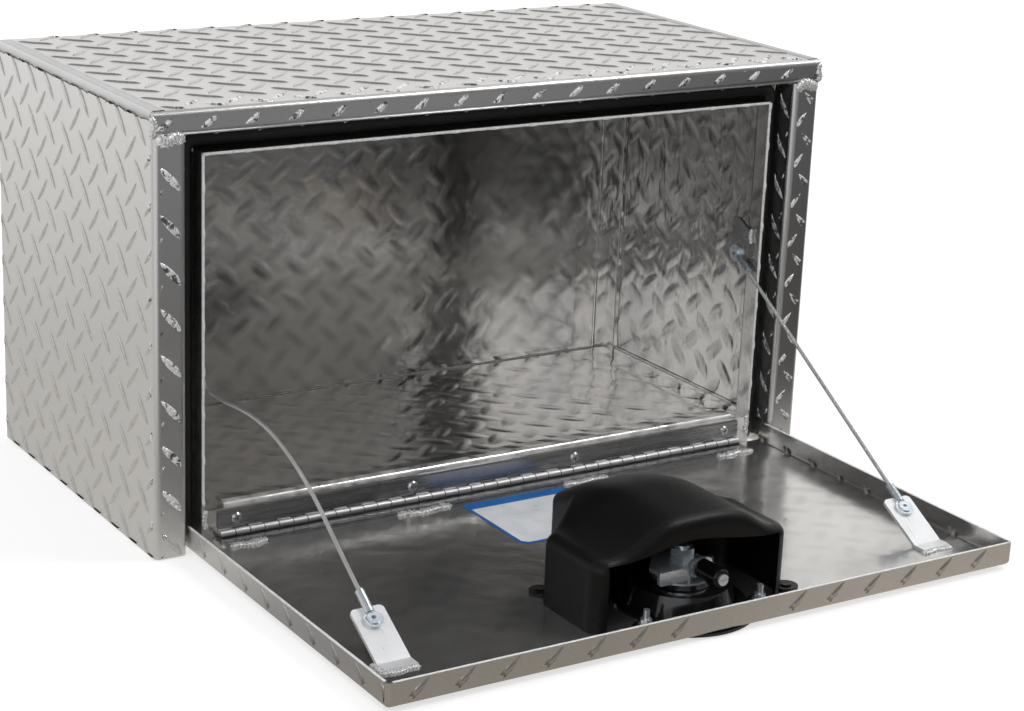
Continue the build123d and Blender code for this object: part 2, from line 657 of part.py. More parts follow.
def guard_plan(inset):
    """The guard's plan: wide at the door's free edge, drawn in to a neck towards the hinge."""
    front_y, back_y = -GUARD_FRONT + inset, GUARD_BACK - inset
    shoulder_y = GUARD_SHOULDER - inset / 2
    neck_y = GUARD_NECK - inset / 2
    right = [
        (GUARD_HALF_W - inset, front_y),
        (GUARD_HALF_W - inset, shoulder_y),
        (GUARD_NECK_HALF_W - inset, neck_y),
        (GUARD_BACK_HALF_W - inset, back_y),
    ]
    left = [(-x, y) for x, y in reversed(right)]
    plan = make_face(Polyline(*right, *left, close=True))
    return fillet(plan.vertices(), radius=GUARD_CORNER_R - inset)


def roof_height(x, y):
    """The roof's height: a swell over level flanks, falling away towards the hinge."""
    swell = exp(-(((x - GUARD_SWELL_X) / GUARD_SWELL_HALF_W) ** 4))
    behind = max(y - GUARD_SHOULDER, 0) / (GUARD_BACK - GUARD_SHOULDER)
    return GUARD_SIDE_H + (GUARD_CROWN_H - GUARD_SIDE_H) * swell - GUARD_FALL * behind**2


def guard_form(inset):
    """The guard's solid form, or its hollow where inset is the wall, from the door at the shaft."""
    reach = GUARD_HALF_W + GUARD_CORNER_R
    y0, y1 = -GUARD_FRONT - GUARD_CORNER_R, GUARD_BACK + GUARD_CORNER_R
    rows = []
    for i in range(ROOF_STEPS + 1):
        x = -reach + 2 * reach * i / ROOF_STEPS
        depths = [y0 + (y1 - y0) * j / ROOF_STEPS for j in range(ROOF_STEPS + 1)]
        rows.append([Vector(x, y, roof_height(x, y) - inset) for y in depths])
    roof = Face.make_surface_from_array_of_points(rows)
    under_roof = extrude(roof, amount=2 * GUARD_CROWN_H, dir=(0, 0, -1))
    return extrude(guard_plan(inset), amount=GUARD_CROWN_H * 1.5) & under_roof


def guard_mouth():
    """The space cut from the front: open down to the door, with a shallow arch above."""
    half = GUARD_HALF_W - GUARD_POST
    side, top = MOUTH_SIDE_H, MOUTH_TOP_H
    arch = Spline(
        (-half, side),
        (-half * 0.6, side + (top - side) * 0.3),
        (-half * 0.15, top),
        (half * 0.5, side + (top - side) * 0.4),
        (half, side),
    )
    feet = Polyline((half, side), (half, -1), (-half, -1), (-half, side))
    face = make_face(arch.edges() + feet.edges())
    plane = Plane(origin=(0, GUARD_CORNER_R - GUARD_FRONT, 0), x_dir=(1, 0, 0), z_dir=(0, -1, 0))
    return extrude(plane * face, amount=GUARD_CORNER_R + 2)


def guard_ears():
    """The guard's two fixing points: beside the middle of its left flank and at its front right corner."""
    left_x, left_y = GUARD_EAR_LEFT
    right_x, right_y = GUARD_EAR_RIGHT
    flank_x = (GUARD_HALF_W + GUARD_NECK_HALF_W) / 2
    flank_y = (GUARD_SHOULDER + GUARD_NECK) / 2
    left = (-flank_x - left_x, flank_y + left_y)
    return [left, (GUARD_HALF_W + right_x, right_y - GUARD_FRONT)]


def latch_guard():
    """The moulded guard: a domed shell with a rounded rim, an arched mouth and two fixing ears."""
    hollow = guard_form(GUARD_WALL)
    form = guard_form(0)
    rim = form.faces().sort_by(Axis.Z)[-1].edges()
    shell = fillet(rim, radius=GUARD_RIM_R)
    for x, y in guard_ears():
        shell += rod((x, y, 0), (x, y, GUARD_EAR_T), GUARD_EAR_R)
    shell -= hollow + guard_mouth()
    for x, y in guard_ears():
        shell -= rod((x, y, -1), (x, y, GUARD_EAR_T + 1), GUARD_RIVET_R)
    return Pos(GUARD_X, LATCH_Y, DOOR_Z1) * shell


def guard_rivets():
    """A rivet through each ear and the door's sheet."""
    rivets = []
    for x, y in guard_ears():
        x, y = x + GUARD_X, y + LATCH_Y
        top = DOOR_Z1 + GUARD_EAR_T
        shank = rod((x, y, DOOR_Z0), (x, y, top), GUARD_RIVET_R)
        head = rod((x, y, top), (x, y, top + 1.2), GUARD_RIVET_R * 2)
        rivets.append(shank + head)
    return group(rivets)


# Cable stays

def stay_slope():
    """The angle at which a stay rises from the door to the case, for the tab's bend."""
    rise = ANCHOR_Z - DOOR_Z1
    run = ANCHOR_Y - TAB_BEND_Y
    return atan2(rise, run)


def tab_plane(x):
    """The plane of a door tab's leg, with its origin at the bend and its x along the leg."""
    slope = stay_slope()
    along, out = (0, cos(slope), sin(slope)), (0, -sin(slope), cos(slope))
    return Plane(origin=(x, TAB_BEND_Y, DOOR_Z1), x_dir=along, z_dir=out)


def door_tab(x):
    """A bent tab welded to the door, with the rivet's hole near the end of its leg."""
    plane = tab_plane(x)
    leg = extrude(plane * Pos(TAB_LEG / 2, 0) * Rectangle(TAB_LEG, TAB_W), amount=TAB_T)
    leg = fillet(leg.edges().filter_by(Axis(plane.origin, plane.z_dir)).group_by(Axis.Y)[-1], radius=4)
    x0, x1 = x - TAB_W / 2, x + TAB_W / 2
    foot = block(x0, x1, TAB_BEND_Y - TAB_FOOT, TAB_BEND_Y + TAB_T, DOOR_Z1, DOOR_Z1 + TAB_T)
    hole = plane * Pos(TAB_RIVET_RUN, 0) * Circle(RIVET_R + EYE_CLEARANCE)
    return leg + foot - extrude(hole, amount=TAB_T * 3, both=True)


def eye_end(center, normal, toward):
    """A stamped eye, centred on its rivet, with a crimped barrel that points along the rope."""
    center, normal = Vector(*center), Vector(*normal).normalized()
    aim = (Vector(*toward) - center).normalized()
    eye = extrude(Plane(origin=center - normal * EYE_T / 2, z_dir=normal) * Circle(EYE_R), amount=EYE_T)
    barrel = rod(center + aim * BARREL_START, center + aim * BARREL_END, BARREL_R)
    hole = Plane(origin=center, z_dir=normal) * Circle(RIVET_R + EYE_CLEARANCE)
    bore = extrude(hole, amount=EYE_T * 2, both=True)
    behind = Plane(origin=center - normal * EYE_T / 2, z_dir=-normal) * Circle(BARREL_END * 2)
    keep_clear = extrude(behind, amount=BARREL_R * 3)
    return eye + (barrel - keep_clear) - bore


def rivet(seat, normal, grip):
    """A hollow rivet through a grip, with a rolled head at each end."""
    seat, normal = Vector(*seat), Vector(*normal).normalized()
    shank = rod(seat, seat + normal * grip, RIVET_R)
    back = rod(seat, seat - normal * RIVET_HEAD_T, RIVET_HEAD_R)
    face = rod(seat + normal * grip, seat + normal * (grip + RIVET_HEAD_T), RIVET_HEAD_R)
    past = 2 * RIVET_HEAD_T
    bore = rod(seat - normal * past, seat + normal * (grip + past), RIVET_BORE_R)
    return shank + back + face - bore


def door_eye(x):
    """The centre of a door-side eye and the direction that its rivet points."""
    plane = tab_plane(x)
    center = plane.origin + plane.x_dir * TAB_RIVET_RUN + plane.z_dir * (TAB_T + EYE_T / 2)
    return center, plane.z_dir


def case_eye(side):
    """The centre of a case-side eye on the inner face of its anchor plate."""
    return Vector(side * ANCHOR_X, ANCHOR_Y, ANCHOR_Z)


def anchor_plate():
    """The left anchor plate, welded inside the lip and reaching back past the channel."""
    low = ANCHOR_Z - RIVET_HEAD_R - 4
    high = ANCHOR_Z + ANCHOR_RISE
    nose = ANCHOR_BACK - ANCHOR_DEPTH
    outline = [
        (FRONT + ANCHOR_FRONT, high - nose),
        (FRONT + ANCHOR_DEPTH, high),
        (FRONT + ANCHOR_BACK, high),
        (FRONT + ANCHOR_BACK, low),
        (FRONT + ANCHOR_DEPTH - nose, low),
        (FRONT + ANCHOR_FRONT, low + nose),
    ]
    plan = fillet(make_face(Polyline(*outline, close=True)).vertices(), radius=3)
    plate = Pos(-LIP_FACE_X, 0, 0) * extrude(Plane.YZ * plan, amount=TAB_T)
    hole_r = RIVET_R + EYE_CLEARANCE
    x0, x1 = -LIP_FACE_X - 1, TAB_T - LIP_FACE_X + 1
    return plate - rod((x0, ANCHOR_Y, ANCHOR_Z), (x1, ANCHOR_Y, ANCHOR_Z), hole_r)


# The slack left stay's route, as depth in front of the case's front plane and height above its base
LEFT_ROUTE = [
    (-260.9, -24.0, 128.0),
    (-259.5, 4.0, 124.5),
    (-257.0, 40.0, 127.5),
    (-254.5, 76.0, 124.5),
    (-252.0, 111.0, 111.5),
    (-250.0, 145.0, 91.5),
    (-248.0, 175.5, 65.3),
]


def left_route():
    """The points of the left stay between its two eyes, in the part's frame."""
    return [Vector(x, FRONT - out, z) for x, out, z in LEFT_ROUTE]


def barrel_end(center, toward):
    """Where the rope leaves a barrel."""
    return center + (Vector(*toward) - center).normalized() * BARREL_END


def left_cable():
    """The left stay, slack and bowed forward, as straight runs joined by tangent arcs."""
    route = left_route()
    start = barrel_end(case_eye(-1), route[0])
    end = barrel_end(door_eye(-TAB_X)[0], route[-1])
    points = [start] + route + [end]
    runs = [(b - a) for a, b in zip(points, points[1:])]
    radii = []
    for before, after in zip(runs, runs[1:]):
        half_turn = radians(before.get_angle(after)) / 2
        radii.append(0.45 * min(before.length, after.length) / tan(half_turn))
    print("left stay radii", [round(r) for r in radii], "runs", [round(r.length) for r in runs])
    path = FilletPolyline(*points, radius=radii)
    section = Plane(origin=start, z_dir=runs[0]) * Circle(ROPE_D / 2)
    tube = sweep(section, path=path)
    share = tube.volume / (path.length * pi * ROPE_D**2 / 4)
    print("left stay length", round(path.length, 1), "volume share", round(share, 4))
    return tube


def right_cable():
    """The right stay, pulled straight between its two eyes."""
    upper, lower = case_eye(1), door_eye(TAB_X)[0]
    start, end = barrel_end(upper, lower), barrel_end(lower, upper)
    print("right stay length", round((end - start).length, 1))
    return rod(start, end, ROPE_D / 2)


def case_rivets():
    """The rivets through the anchor plates and the upper eyes."""
    rivets = []
    for side in (-1, 1):
        inward = Vector(-side, 0, 0)
        seat = case_eye(side) - inward * (EYE_T / 2 + TAB_T)
        rivets.append(rivet(seat, inward, TAB_T + EYE_T))
    return group(rivets)


def door_rivets():
    """The rivets through the door's tabs and the lower eyes."""
    rivets = []
    for side in (-1, 1):
        center, normal = door_eye(side * TAB_X)
        rivets.append(rivet(center - normal * (EYE_T / 2 + TAB_T), normal, TAB_T + EYE_T))
    return group(rivets)


def stay_nodes():
    """The two stays with their plates, tabs, eyes and rivets."""
    route = left_route()
    lower_left, left_normal = door_eye(-TAB_X)
    lower_right, right_normal = door_eye(TAB_X)
    return {
        "left_cable_anchor": anchor_plate(),
        "right_cable_anchor": mirrored(anchor_plate()),
        "cable_anchor_rivets": case_rivets(),
        "left_cable_case_end": eye_end(case_eye(-1), (1, 0, 0), route[0]),
        "right_cable_case_end": eye_end(case_eye(1), (-1, 0, 0), lower_right),
        "left_door_tab": door_tab(-TAB_X),
        "right_door_tab": door_tab(TAB_X),
        "door_tab_rivets": door_rivets(),
        "left_cable_door_end": eye_end(lower_left, left_normal, route[-1]),
        "right_cable_door_end": eye_end(lower_right, right_normal, case_eye(1)),
        "left_cable": left_cable(),
        "right_cable": right_cable(),
    }


def nodes():
    """Every piece of the tool box by its name."""
    top = top_panel()
    left = side_panel(top)
    return {
        "top_panel": top,
        "left_side_panel": left,
        "right_side_panel": mirrored(left),
        "back_panel": back_panel(),
        "floor_panel": floor_panel(),
        "door_seal": door_seal(),
        "hinge_case_leaf": hinge_case_leaf(),
        "hinge_door_leaf": hinge_door_leaf(),
        "hinge_pin": hinge_pin(),
        "hinge_screws": hinge_screws(),
        "door_pan": door_pan(),
        "latch_bowl": latch_bowl(),
        "latch_studs": latch_studs(),
        "latch_nuts": latch_nuts(),
        "clamp_ring": clamp_ring(),
        "latch_guard": latch_guard(),
        "guard_rivets": guard_rivets(),
        "latch_shaft": latch_shaft(),
        "cam_washer": cam_washer(),
        "cam_bracket": cam_bracket(),
        "cam_nut": cam_nut(),
        "roller_pin": roller_pin(),
        "cam_roller": cam_roller(),
        "handle_pivot": handle_pivot(),
        "t_handle": t_handle(),
        "lock_cylinder": lock_cylinder(),
        **stay_nodes(),
    }


os.makedirs("parts", exist_ok=True)
for name, shape in nodes().items():
    export_step(shape, os.path.join("parts", name + ".step"))
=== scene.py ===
import bpy
import random
from math import atan2, ceil, cos, floor, hypot, pi, radians, sin
from mathutils import Matrix, Vector


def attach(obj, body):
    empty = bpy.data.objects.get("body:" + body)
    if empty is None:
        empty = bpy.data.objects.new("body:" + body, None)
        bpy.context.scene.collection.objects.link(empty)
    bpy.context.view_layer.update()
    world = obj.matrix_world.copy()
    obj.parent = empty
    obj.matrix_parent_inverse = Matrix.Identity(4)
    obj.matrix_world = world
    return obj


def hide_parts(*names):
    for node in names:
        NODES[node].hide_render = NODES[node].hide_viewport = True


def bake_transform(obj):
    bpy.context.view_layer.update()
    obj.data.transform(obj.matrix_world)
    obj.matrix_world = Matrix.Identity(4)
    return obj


# Underbody truck tool box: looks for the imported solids.
# Sizes are in millimetres until mesh() is called; lamps, the floor and shader nodes work in metres.

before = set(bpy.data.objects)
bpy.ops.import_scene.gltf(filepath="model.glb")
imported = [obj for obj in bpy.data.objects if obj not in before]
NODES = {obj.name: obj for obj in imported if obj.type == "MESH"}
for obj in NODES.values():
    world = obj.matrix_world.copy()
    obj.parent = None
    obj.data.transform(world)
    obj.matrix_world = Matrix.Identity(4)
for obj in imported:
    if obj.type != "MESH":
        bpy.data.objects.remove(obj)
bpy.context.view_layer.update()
MM = 0.001

# The same driving sizes as the part
CASE_W, CASE_D, CASE_H = 622.0, 318.0, 350.0
SHEET, BEND_R = 2.5, 5.0
FRONT, BACK = -CASE_D / 2, CASE_D / 2
HEADER_EDGE_Z, HEADER_LIP_Z = 330.0, 312.0
JAMB_EDGE_X, LIP_FACE_X = 284.0, 265.0
CHANNEL_FLOOR_Y = FRONT + 26.5
HINGE_Y, HINGE_Z = FRONT + 6.3, 9.0
KNUCKLE_R, KNUCKLE_PITCH = 3.5, 12.7
APRON_Y = FRONT + 10.1
APRON_H, APRON_RETURN = 34.0, 16.0
BACK_FLANGE, FLOOR_FLANGE_H = 38.0, 12.0
DOOR_Z0 = 2.7
DOOR_Z1 = DOOR_Z0 + SHEET
DOOR_RIM = 19.0
DOOR_HALF_W = 282.5
DOOR_FREE_Y = HINGE_Y - 319.5
DOOR_TAIL_Y = HINGE_Y + 3.0
DOOR_EDGE_R = 4.0
LATCH_Y = DOOR_FREE_Y + 58.0
ROPE_D = 3.2
TAB_X, TAB_T, TAB_RIVET_RUN, TAB_BEND_FROM_HINGE = 245.0, 2.5, 37.0, 262.0
EYE_T, BARREL_END = 2.4, 24.0
ANCHOR_Y, ANCHOR_Z = FRONT + 37.0, 174.0
ANCHOR_X = LIP_FACE_X - TAB_T - EYE_T / 2
SCREW_XS, SCREW_Z = (-238.5, -79.5, 79.5, 238.5), HINGE_Z + 11.3

# The slack stay's route, as (x, distance before the front, z)
LEFT_ROUTE = [
    (-260.9, -24.0, 128.0),
    (-259.5, 4.0, 124.5),
    (-257.0, 40.0, 127.5),
    (-254.5, 76.0, 124.5),
    (-252.0, 111.0, 111.5),
    (-250.0, 145.0, 91.5),
    (-248.0, 175.5, 65.3),
]

# Tread pattern: the size of a lug, its grid, and the two sets with their lean and their shift in pitches
LUG_L, LUG_W, LUG_H = 32.0, 6.0, 1.15
LUG_PITCH = 36.0
LUG_TILT = radians(43)
LUG_SETS = ((-1, 0.0), (1, 0.5))
# A lug's rings, as shares of its size, and the points round each ring
LUG_RINGS, LUG_SIDES = (1.0, 0.82, 0.5), 14
# The lugs' rims sink this far into the sheet
LUG_SINK = 0.02
# The pattern starts this far from a sheet's edge, and ends this far before a channel's floor
LUG_MARGIN, CHANNEL_BARE = 1.5, 8.0
# Half the width over which the back and the floor have lugs
LUG_HALF_SPAN = 290.0
# Where the shut door's side rims pass the jambs, the lugs are pressed to this share of their height
PRESSED = 0.45

SIDES = ((-1, "left"), (1, "right"))

# The ground strip along the top's two side edges
STRIP_TOP, STRIP_SIDE = 12.0, 6.0

# The sticker as (x0, x1, y0, y1), its two cut corners, and its printed border and band
LABEL_BOX = (-46.0, 62.0, FRONT - 110.0, FRONT - 15.0)
LABEL_CUT, LABEL_TOP_CUT = 6.0, 11.0
LABEL_BORDER, LABEL_BAND = 2.6, 12.0

# The photograph's camera
CAMERA_AZ, CAMERA_EL, CAMERA_ROLL = -32.722, 17.352, 2.328
CAMERA_AT = (-994.4, FRONT - 1558.3, 702.0)
SENSOR_W, LENS = 36.0, 82.943

FLOOR_Z = -1.1
# A point this near a face counts as lying on it
SKIN = 1.0


# Camera and lamps

def placed(name, data):
    """A new object in the scene."""
    made = bpy.data.objects.new(name, data)
    bpy.context.scene.collection.objects.link(made)
    return made


def make_camera():
    """The photograph's camera. Azimuth 0 looks along +Y."""
    az, el, roll = radians(CAMERA_AZ), radians(CAMERA_EL), radians(CAMERA_ROLL)
    back = Vector((sin(az) * cos(el), -cos(az) * cos(el), sin(el)))
    right = (-back).cross(Vector((0, 0, 1))).normalized()
    up = right.cross(-back)
    turned_right = right * cos(roll) + up * sin(roll)
    turned_up = up * cos(roll) - right * sin(roll)
    data = bpy.data.cameras.new("camera")
    data.sensor_fit = "HORIZONTAL"
    data.sensor_width = SENSOR_W
    data.lens = LENS
    data.clip_end = 50
    camera = placed("camera", data)
    axes = Matrix((turned_right, turned_up, back)).transposed()
    camera.matrix_world = Matrix.Translation(Vector(CAMERA_AT) * MM) @ axes.to_4x4()
    bpy.context.scene.camera = camera


def area_light(name, place, aim, size, power, in_metal=False):
    """A soft rectangular lamp in metres and watts, mirrored by the metal only where asked."""
    data = bpy.data.lights.new(name, "AREA")
    data.shape = "RECTANGLE"
    data.size, data.size_y = size
    data.energy = power
    lamp = placed(name, data)
    lamp.location = place
    lamp.rotation_euler = (Vector(aim) - Vector(place)).to_track_quat("-Z", "Y").to_euler()
    lamp.visible_glossy = in_metal


def make_lights():
    """Large soft lamps above and at the left, a small one at the right, and a spark for the lugs bent over
    the front.
    """
    area_light("key_lamp", (-1.7, -1.4, 2.2), (0, -0.1, 0.1), (3.0, 2.2), 26)
    area_light("top_lamp", (0.2, 0.6, 2.4), (0, 0, 0.1), (3.4, 2.4), 24)
    area_light("right_lamp", (1.9, -1.0, 1.2), (0, -0.1, 0.1), (0.5, 1.4), 7)
    area_light("spark_lamp", (1.15, -0.85, 1.95), (0, -0.2, 0.1), (0.5, 0.5), 8, in_metal=True)


# Shader nodes

class Value:
    """A number or colour that varies over a surface: an output socket that takes plain arithmetic."""

    def __init__(self, socket):
        self.socket = socket
        self.tree = socket.id_data

    def maths(self, operation, *others):
        """A maths node on this value and the others."""
        made = node(self.tree, "Math", operation=operation)
        for spot, value in zip(made.inputs, (self, *others)):
            feed(spot, value)
        return Value(made.outputs[0])

    def __add__(self, other):
        return self.maths("ADD", other)

    def __sub__(self, other):
        return self.maths("SUBTRACT", other)

    def __mul__(self, other):
        return self.maths("MULTIPLY", other)

    def __truediv__(self, other):
        return self.maths("DIVIDE", other)

    def __pow__(self, power):
        return self.maths("POWER", power)

    def __abs__(self):
        return self.maths("ABSOLUTE")

    def below(self, limit):
        """1 where the value is less than the limit, 0 elsewhere."""
        return self.maths("LESS_THAN", limit)

    def above(self, limit):
        """1 where the value is more than the limit, 0 elsewhere."""
        return self.maths("GREATER_THAN", limit)

    def line(self, slope, start):
        """The value times slope, plus start."""
        return self.maths("MULTIPLY_ADD", slope, start)

    def spread(self, low, high):
        """Maps 0..1 to low..high."""
        return self.line(high - low, low)

    def clamped(self, low=0.0, high=1.0):
        """The value held between low and high."""
        return self.maths("MAXIMUM", low).maths("MINIMUM", high)

    def ramp(self, stops):
        """A colour ramp over the value, with stops of (place, grey or colour)."""
        made = node(self.tree, "ValToRGB")
        elements = made.color_ramp.elements
        while len(elements) > 1:
            elements.remove(elements[-1])
        for index, (place, tone) in enumerate(stops):
            spot = elements[0] if index == 0 else elements.new(place)
            spot.position = place
            spot.color = rgba(tone)
        feed(made.inputs[0], self)
        return Value(made.outputs[0])


def rgba(tone):
    """A grey or a colour as four numbers."""
    return (tone, tone, tone, 1) if isinstance(tone, (int, float)) else (*tone, 1)


def feed(socket, value):
    """Gives an input socket a value, another socket, or a plain number or colour."""
    if isinstance(value, Value):
        value = value.socket
    if isinstance(value, bpy.types.NodeSocket):
        socket.id_data.links.new(value, socket)
    else:
        socket.default_value = rgba(value) if socket.type == "RGBA" else value


def node(tree, kind, **values):
    """A shader node. Names of its settings set those, other names feed its input sockets."""
    made = tree.nodes.new("ShaderNode" + kind)
    for key, value in values.items():
        if hasattr(made, key):
            setattr(made, key, value)
        else:
            feed(made.inputs[key], value)
    return made


def xyz(place):
    """The three coordinates of a place."""
    split = node(place.tree, "SeparateXYZ")
    feed(split.inputs[0], place)
    return [Value(socket) for socket in split.outputs]


def either(*tests):
    """1 where any test is 1."""
    found = tests[0]
    for test in tests[1:]:
        found = found.maths("MAXIMUM", test)
    return found


def mixed(factor, first, second, blend="MIX"):
    """The first colour turned into the second by a factor, or multiplied by it."""
    made = node(first.tree, "Mix", data_type="RGBA", blend_type=blend)
    for index, value in ((0, factor), (6, first), (7, second)):
        feed(made.inputs[index], value)
    return Value(made.outputs[2])


def noise(place, scale, detail=3.0, stretch=None, distortion=0.0):
    """Noise at a scale given per metre, stretched where wanted."""
    if stretch:
        place = Value(node(place.tree, "Mapping", Vector=place, Scale=stretch).outputs[0])
    made = node(place.tree, "TexNoise", Vector=place, Scale=scale, Detail=detail, Distortion=distortion)
    return Value(made.outputs["Fac"])


def split_rays(path, ray, usual, special):
    """Shows one shader to the named kind of ray and another to all others."""
    mix = node(path.id_data, "MixShader")
    for spot, source in zip(mix.inputs, (path.outputs[ray], usual.outputs[0], special.outputs[0])):
        feed(spot, source)
    return mix


# World and floor

def make_world():
    """White behind the object, a darker room on the side that the door opens to."""
    world = bpy.data.worlds.new("studio")
    bpy.context.scene.world = world
    world.use_nodes = True
    tree = world.node_tree
    tree.nodes.clear()
    place = Value(node(tree, "TexCoord").outputs["Generated"])
    x, y, z = xyz(place)
    across = y.line(0.5, 0.5) + noise(place, 2.2).line(0.25, -0.125)
    room = across.ramp([(0.0, (0.18, 0.175, 0.17)), (0.25, (0.20, 0.19, 0.18)), (0.4, (0.37, 0.36, 0.345)),
                        (0.55, (0.53, 0.515, 0.495)), (0.7, (0.64, 0.63, 0.61)), (0.9, (1.0, 0.99, 0.975))])
    window = x.line(-3.2, -0.45).clamped() * y.line(-3.0, -0.2).clamped()
    overhead = z.ramp([(0.42, 0.0), (0.72, 0.9)])
    ceiling = x.ramp([(0.36, (0.26, 0.26, 0.27)), (0.58, 0.95)])
    lit = mixed(overhead, mixed(window, room, 1.05), ceiling)
    seen = node(tree, "Background", Color=1.0, Strength=1.0)
    light = node(tree, "Background", Color=lit, Strength=0.92)
    mix = split_rays(node(tree, "LightPath"), "Is Camera Ray", light, seen)
    feed(node(tree, "OutputWorld").inputs[0], mix.outputs[0])


def floor_look():
    """White with the contact shadow for the camera; what the metal mirrors darkens towards the front."""
    material = bpy.data.materials.new("floor")
    material.use_nodes = True
    tree = material.node_tree
    tree.nodes.clear()
    x, y, _ = xyz(Value(node(tree, "NewGeometry").outputs["Position"]))
    tone = y.line(0.25, 0.5).ramp([
        (0.0, (0.34, 0.34, 0.35)), (0.24, (0.36, 0.36, 0.365)), (0.28, (0.13, 0.132, 0.137)),
        (0.345, (0.105, 0.107, 0.11)), (0.36, (0.42, 0.375, 0.32)), (0.385, (0.42, 0.375, 0.32)),
        (0.41, (0.40, 0.39, 0.38)), (0.47, (0.56, 0.545, 0.52)), (0.6, (0.56, 0.545, 0.52)),
        (0.8, (0.75, 0.74, 0.72)), (1.0, 0.9)])
    aside = (y - FRONT * MM).line(0.643, x)
    dim = aside.spread(0.25, 0.50).ramp([
        (0.172, 0.68), (0.20, 0.78), (0.235, 1.0), (0.28, 1.0), (0.31, 0.10), (0.55, 0.2), (0.9, 0.8)])
    in_front = y.line(-8.0, -1.3).clamped()
    shade = mixed(in_front, tone, dim, "MULTIPLY")
    left_front = x.line(-4.0, -1.6).clamped() * y.line(-4.0, -0.8).clamped()
    glow = node(tree, "Emission", Color=mixed(left_front, shade, 0.66))
    away = (x ** 2 + y ** 2).maths("SQRT")
    white = node(tree, "Emission", Strength=away.line(0.3, 0.38).clamped(0.62))
    matt = node(tree, "BsdfDiffuse", Color=0.5)
    both = node(tree, "AddShader")
    for spot, source in zip(both.inputs, (white, matt)):
        feed(spot, source.outputs[0])
    path = node(tree, "LightPath")
    mirrored = split_rays(path, "Is Glossy Ray", node(tree, "BsdfDiffuse", Color=0.6), glow)
    mix = split_rays(path, "Is Camera Ray", mirrored, both)
    feed(node(tree, "OutputMaterial").inputs[0], mix.outputs[0])
    return material


def make_floor():
    """A wide pale floor."""
    half, z = 9.0, FLOOR_Z * MM
    data = bpy.data.meshes.new("floor")
    corners = [(-half, -half, z), (half, -half, z), (half, half, z), (-half, half, z)]
    data.from_pydata(corners, [], [(0, 1, 2, 3)])
    data.materials.append(floor_look())
    ground = placed("floor", data)


# Materials

class Look:
    """A new material: its shader, the place on the object, and short ways to set it."""

    def __init__(self, name, metallic=0.0):
        self.material = bpy.data.materials.new(name)
        self.material.use_nodes = True
        self.tree = self.material.node_tree
        self.shader = self.tree.nodes["Principled BSDF"]
        self.place = Value(node(self.tree, "TexCoord").outputs["Object"])
        self.normal = None
        self.set("Metallic", metallic)

    def set(self, name, value):
        """Feeds the shader's named input."""
        feed(self.shader.inputs[name], value)

    def noise(self, *sizes, **more):
        """Noise over this material."""
        return noise(self.place, *sizes, **more)

    def bump(self, height, strength, distance):
        """Adds a bump over those made before."""
        made = node(self.tree, "Bump", Height=height, Strength=strength, Distance=distance)
        if self.normal:
            feed(made.inputs["Normal"], self.normal)
        self.normal = made.outputs[0]
        self.set("Normal", self.normal)


def lug_ghosts(u, v):
    """The tread pattern as a mask over two coordinates in metres: the faint marks inside a sheet."""
    long_share, wide_share = 0.56, 1.25
    masks = []
    for direction, offset in LUG_SETS:
        a, b = [(value.line(1 / (LUG_PITCH * MM), 100 + offset).maths("FRACT") - 0.5) * LUG_PITCH
                for value in (u, v)]
        c, s = cos(LUG_TILT), sin(LUG_TILT) * direction
        reach = ((a * c + b * s) / (LUG_L * long_share)) ** 2
        width = ((b * c - a * s) / (LUG_W * wide_share)) ** 2
        masks.append((reach + width).line(-1.0, 1.0).maths("MAXIMUM", 0.0) ** 1.5)
    return masks[0] + masks[1]


def metal(name, colour, roughness, grain_scale=900, grain=0.1, stretch=None, bare=1.0):
    """Metal with fine grain and patchy roughness. bare below 1 adds a matt white haze."""
    patch, darker = 0.06, 0.86
    look = Look(name, metallic=bare)
    fine = look.noise(grain_scale, 4.0, stretch)
    slow = look.noise(28)
    look.set("Roughness", slow.spread(roughness - patch, roughness + patch) + fine.line(0.12, -0.06))
    look.set("Base Color", slow.ramp([(0.3, [c * darker for c in colour]), (0.7, colour)]))
    look.bump(fine, grain, 0.0002)
    return look.material


def sill_pearl(look, far_x, y, z):
    """A mask of bright beads along the ridge of the sill, where the apron is bent back."""
    near_top = abs(z - APRON_H * MM).below(BEND_R * MM)
    near_front = y.below((APRON_Y + 1.4 * BEND_R) * MM)
    ridge = near_top * near_front * far_x.below(LIP_FACE_X * MM)
    return ridge * look.noise(75, 1.0, stretch=(1, 0.3, 0.3)).spread(-0.6, 2.2).clamped()


def case_tread():
    """The case's tread plate: marks, smears and streaks inside differ between its walls and its floor."""
    look = Look("tread_plate_case")
    x, y, z = xyz(look.place)
    far_x = abs(x)
    outside = either(far_x.above((CASE_W / 2 - SKIN) * MM), y.below((FRONT + 2.2) * MM),
                     y.above((BACK - SKIN) * MM), z.above((CASE_H - SKIN) * MM), z.below(SKIN * MM))
    on_floor, on_side = z.below(8 * MM), far_x.above(300 * MM)
    marks = lug_ghosts(x + y * on_floor.line(-1.0, 1.0), z + y * on_floor)
    streaks = look.noise(70, 2.0, stretch=(1, 1, 0.4), distortion=0.5) * (on_side * 1.6)
    tread_plate(look, outside, marks, z, smooth=0.08, dark=on_side.line(0.06, 0.24),
                depth=either(on_side, on_floor).line(0.7, 0.34), streaks=streaks)
    haze = outside.line(-1.0, 1.0).line(-0.05, 1.0)
    look.set("Metallic", haze - sill_pearl(look, far_x, y, z) * 0.55)
    return look.material


def door_tread():
    """The door's tread plate, smoother and with fainter marks inside."""
    look = Look("tread_plate_door")
    x, y, z = xyz(look.place)
    outside = either(z.below((DOOR_Z0 + SKIN) * MM), abs(x).above((DOOR_HALF_W - SKIN) * MM),
                     y.below((DOOR_FREE_Y + SKIN) * MM))
    tread_plate(look, outside, lug_ghosts(x, y), z, smooth=0.12, dark=0.12, depth=0.16)
    look.set("Metallic", outside.line(-1.0, 1.0).line(-0.07, 1.0))
    return look.material


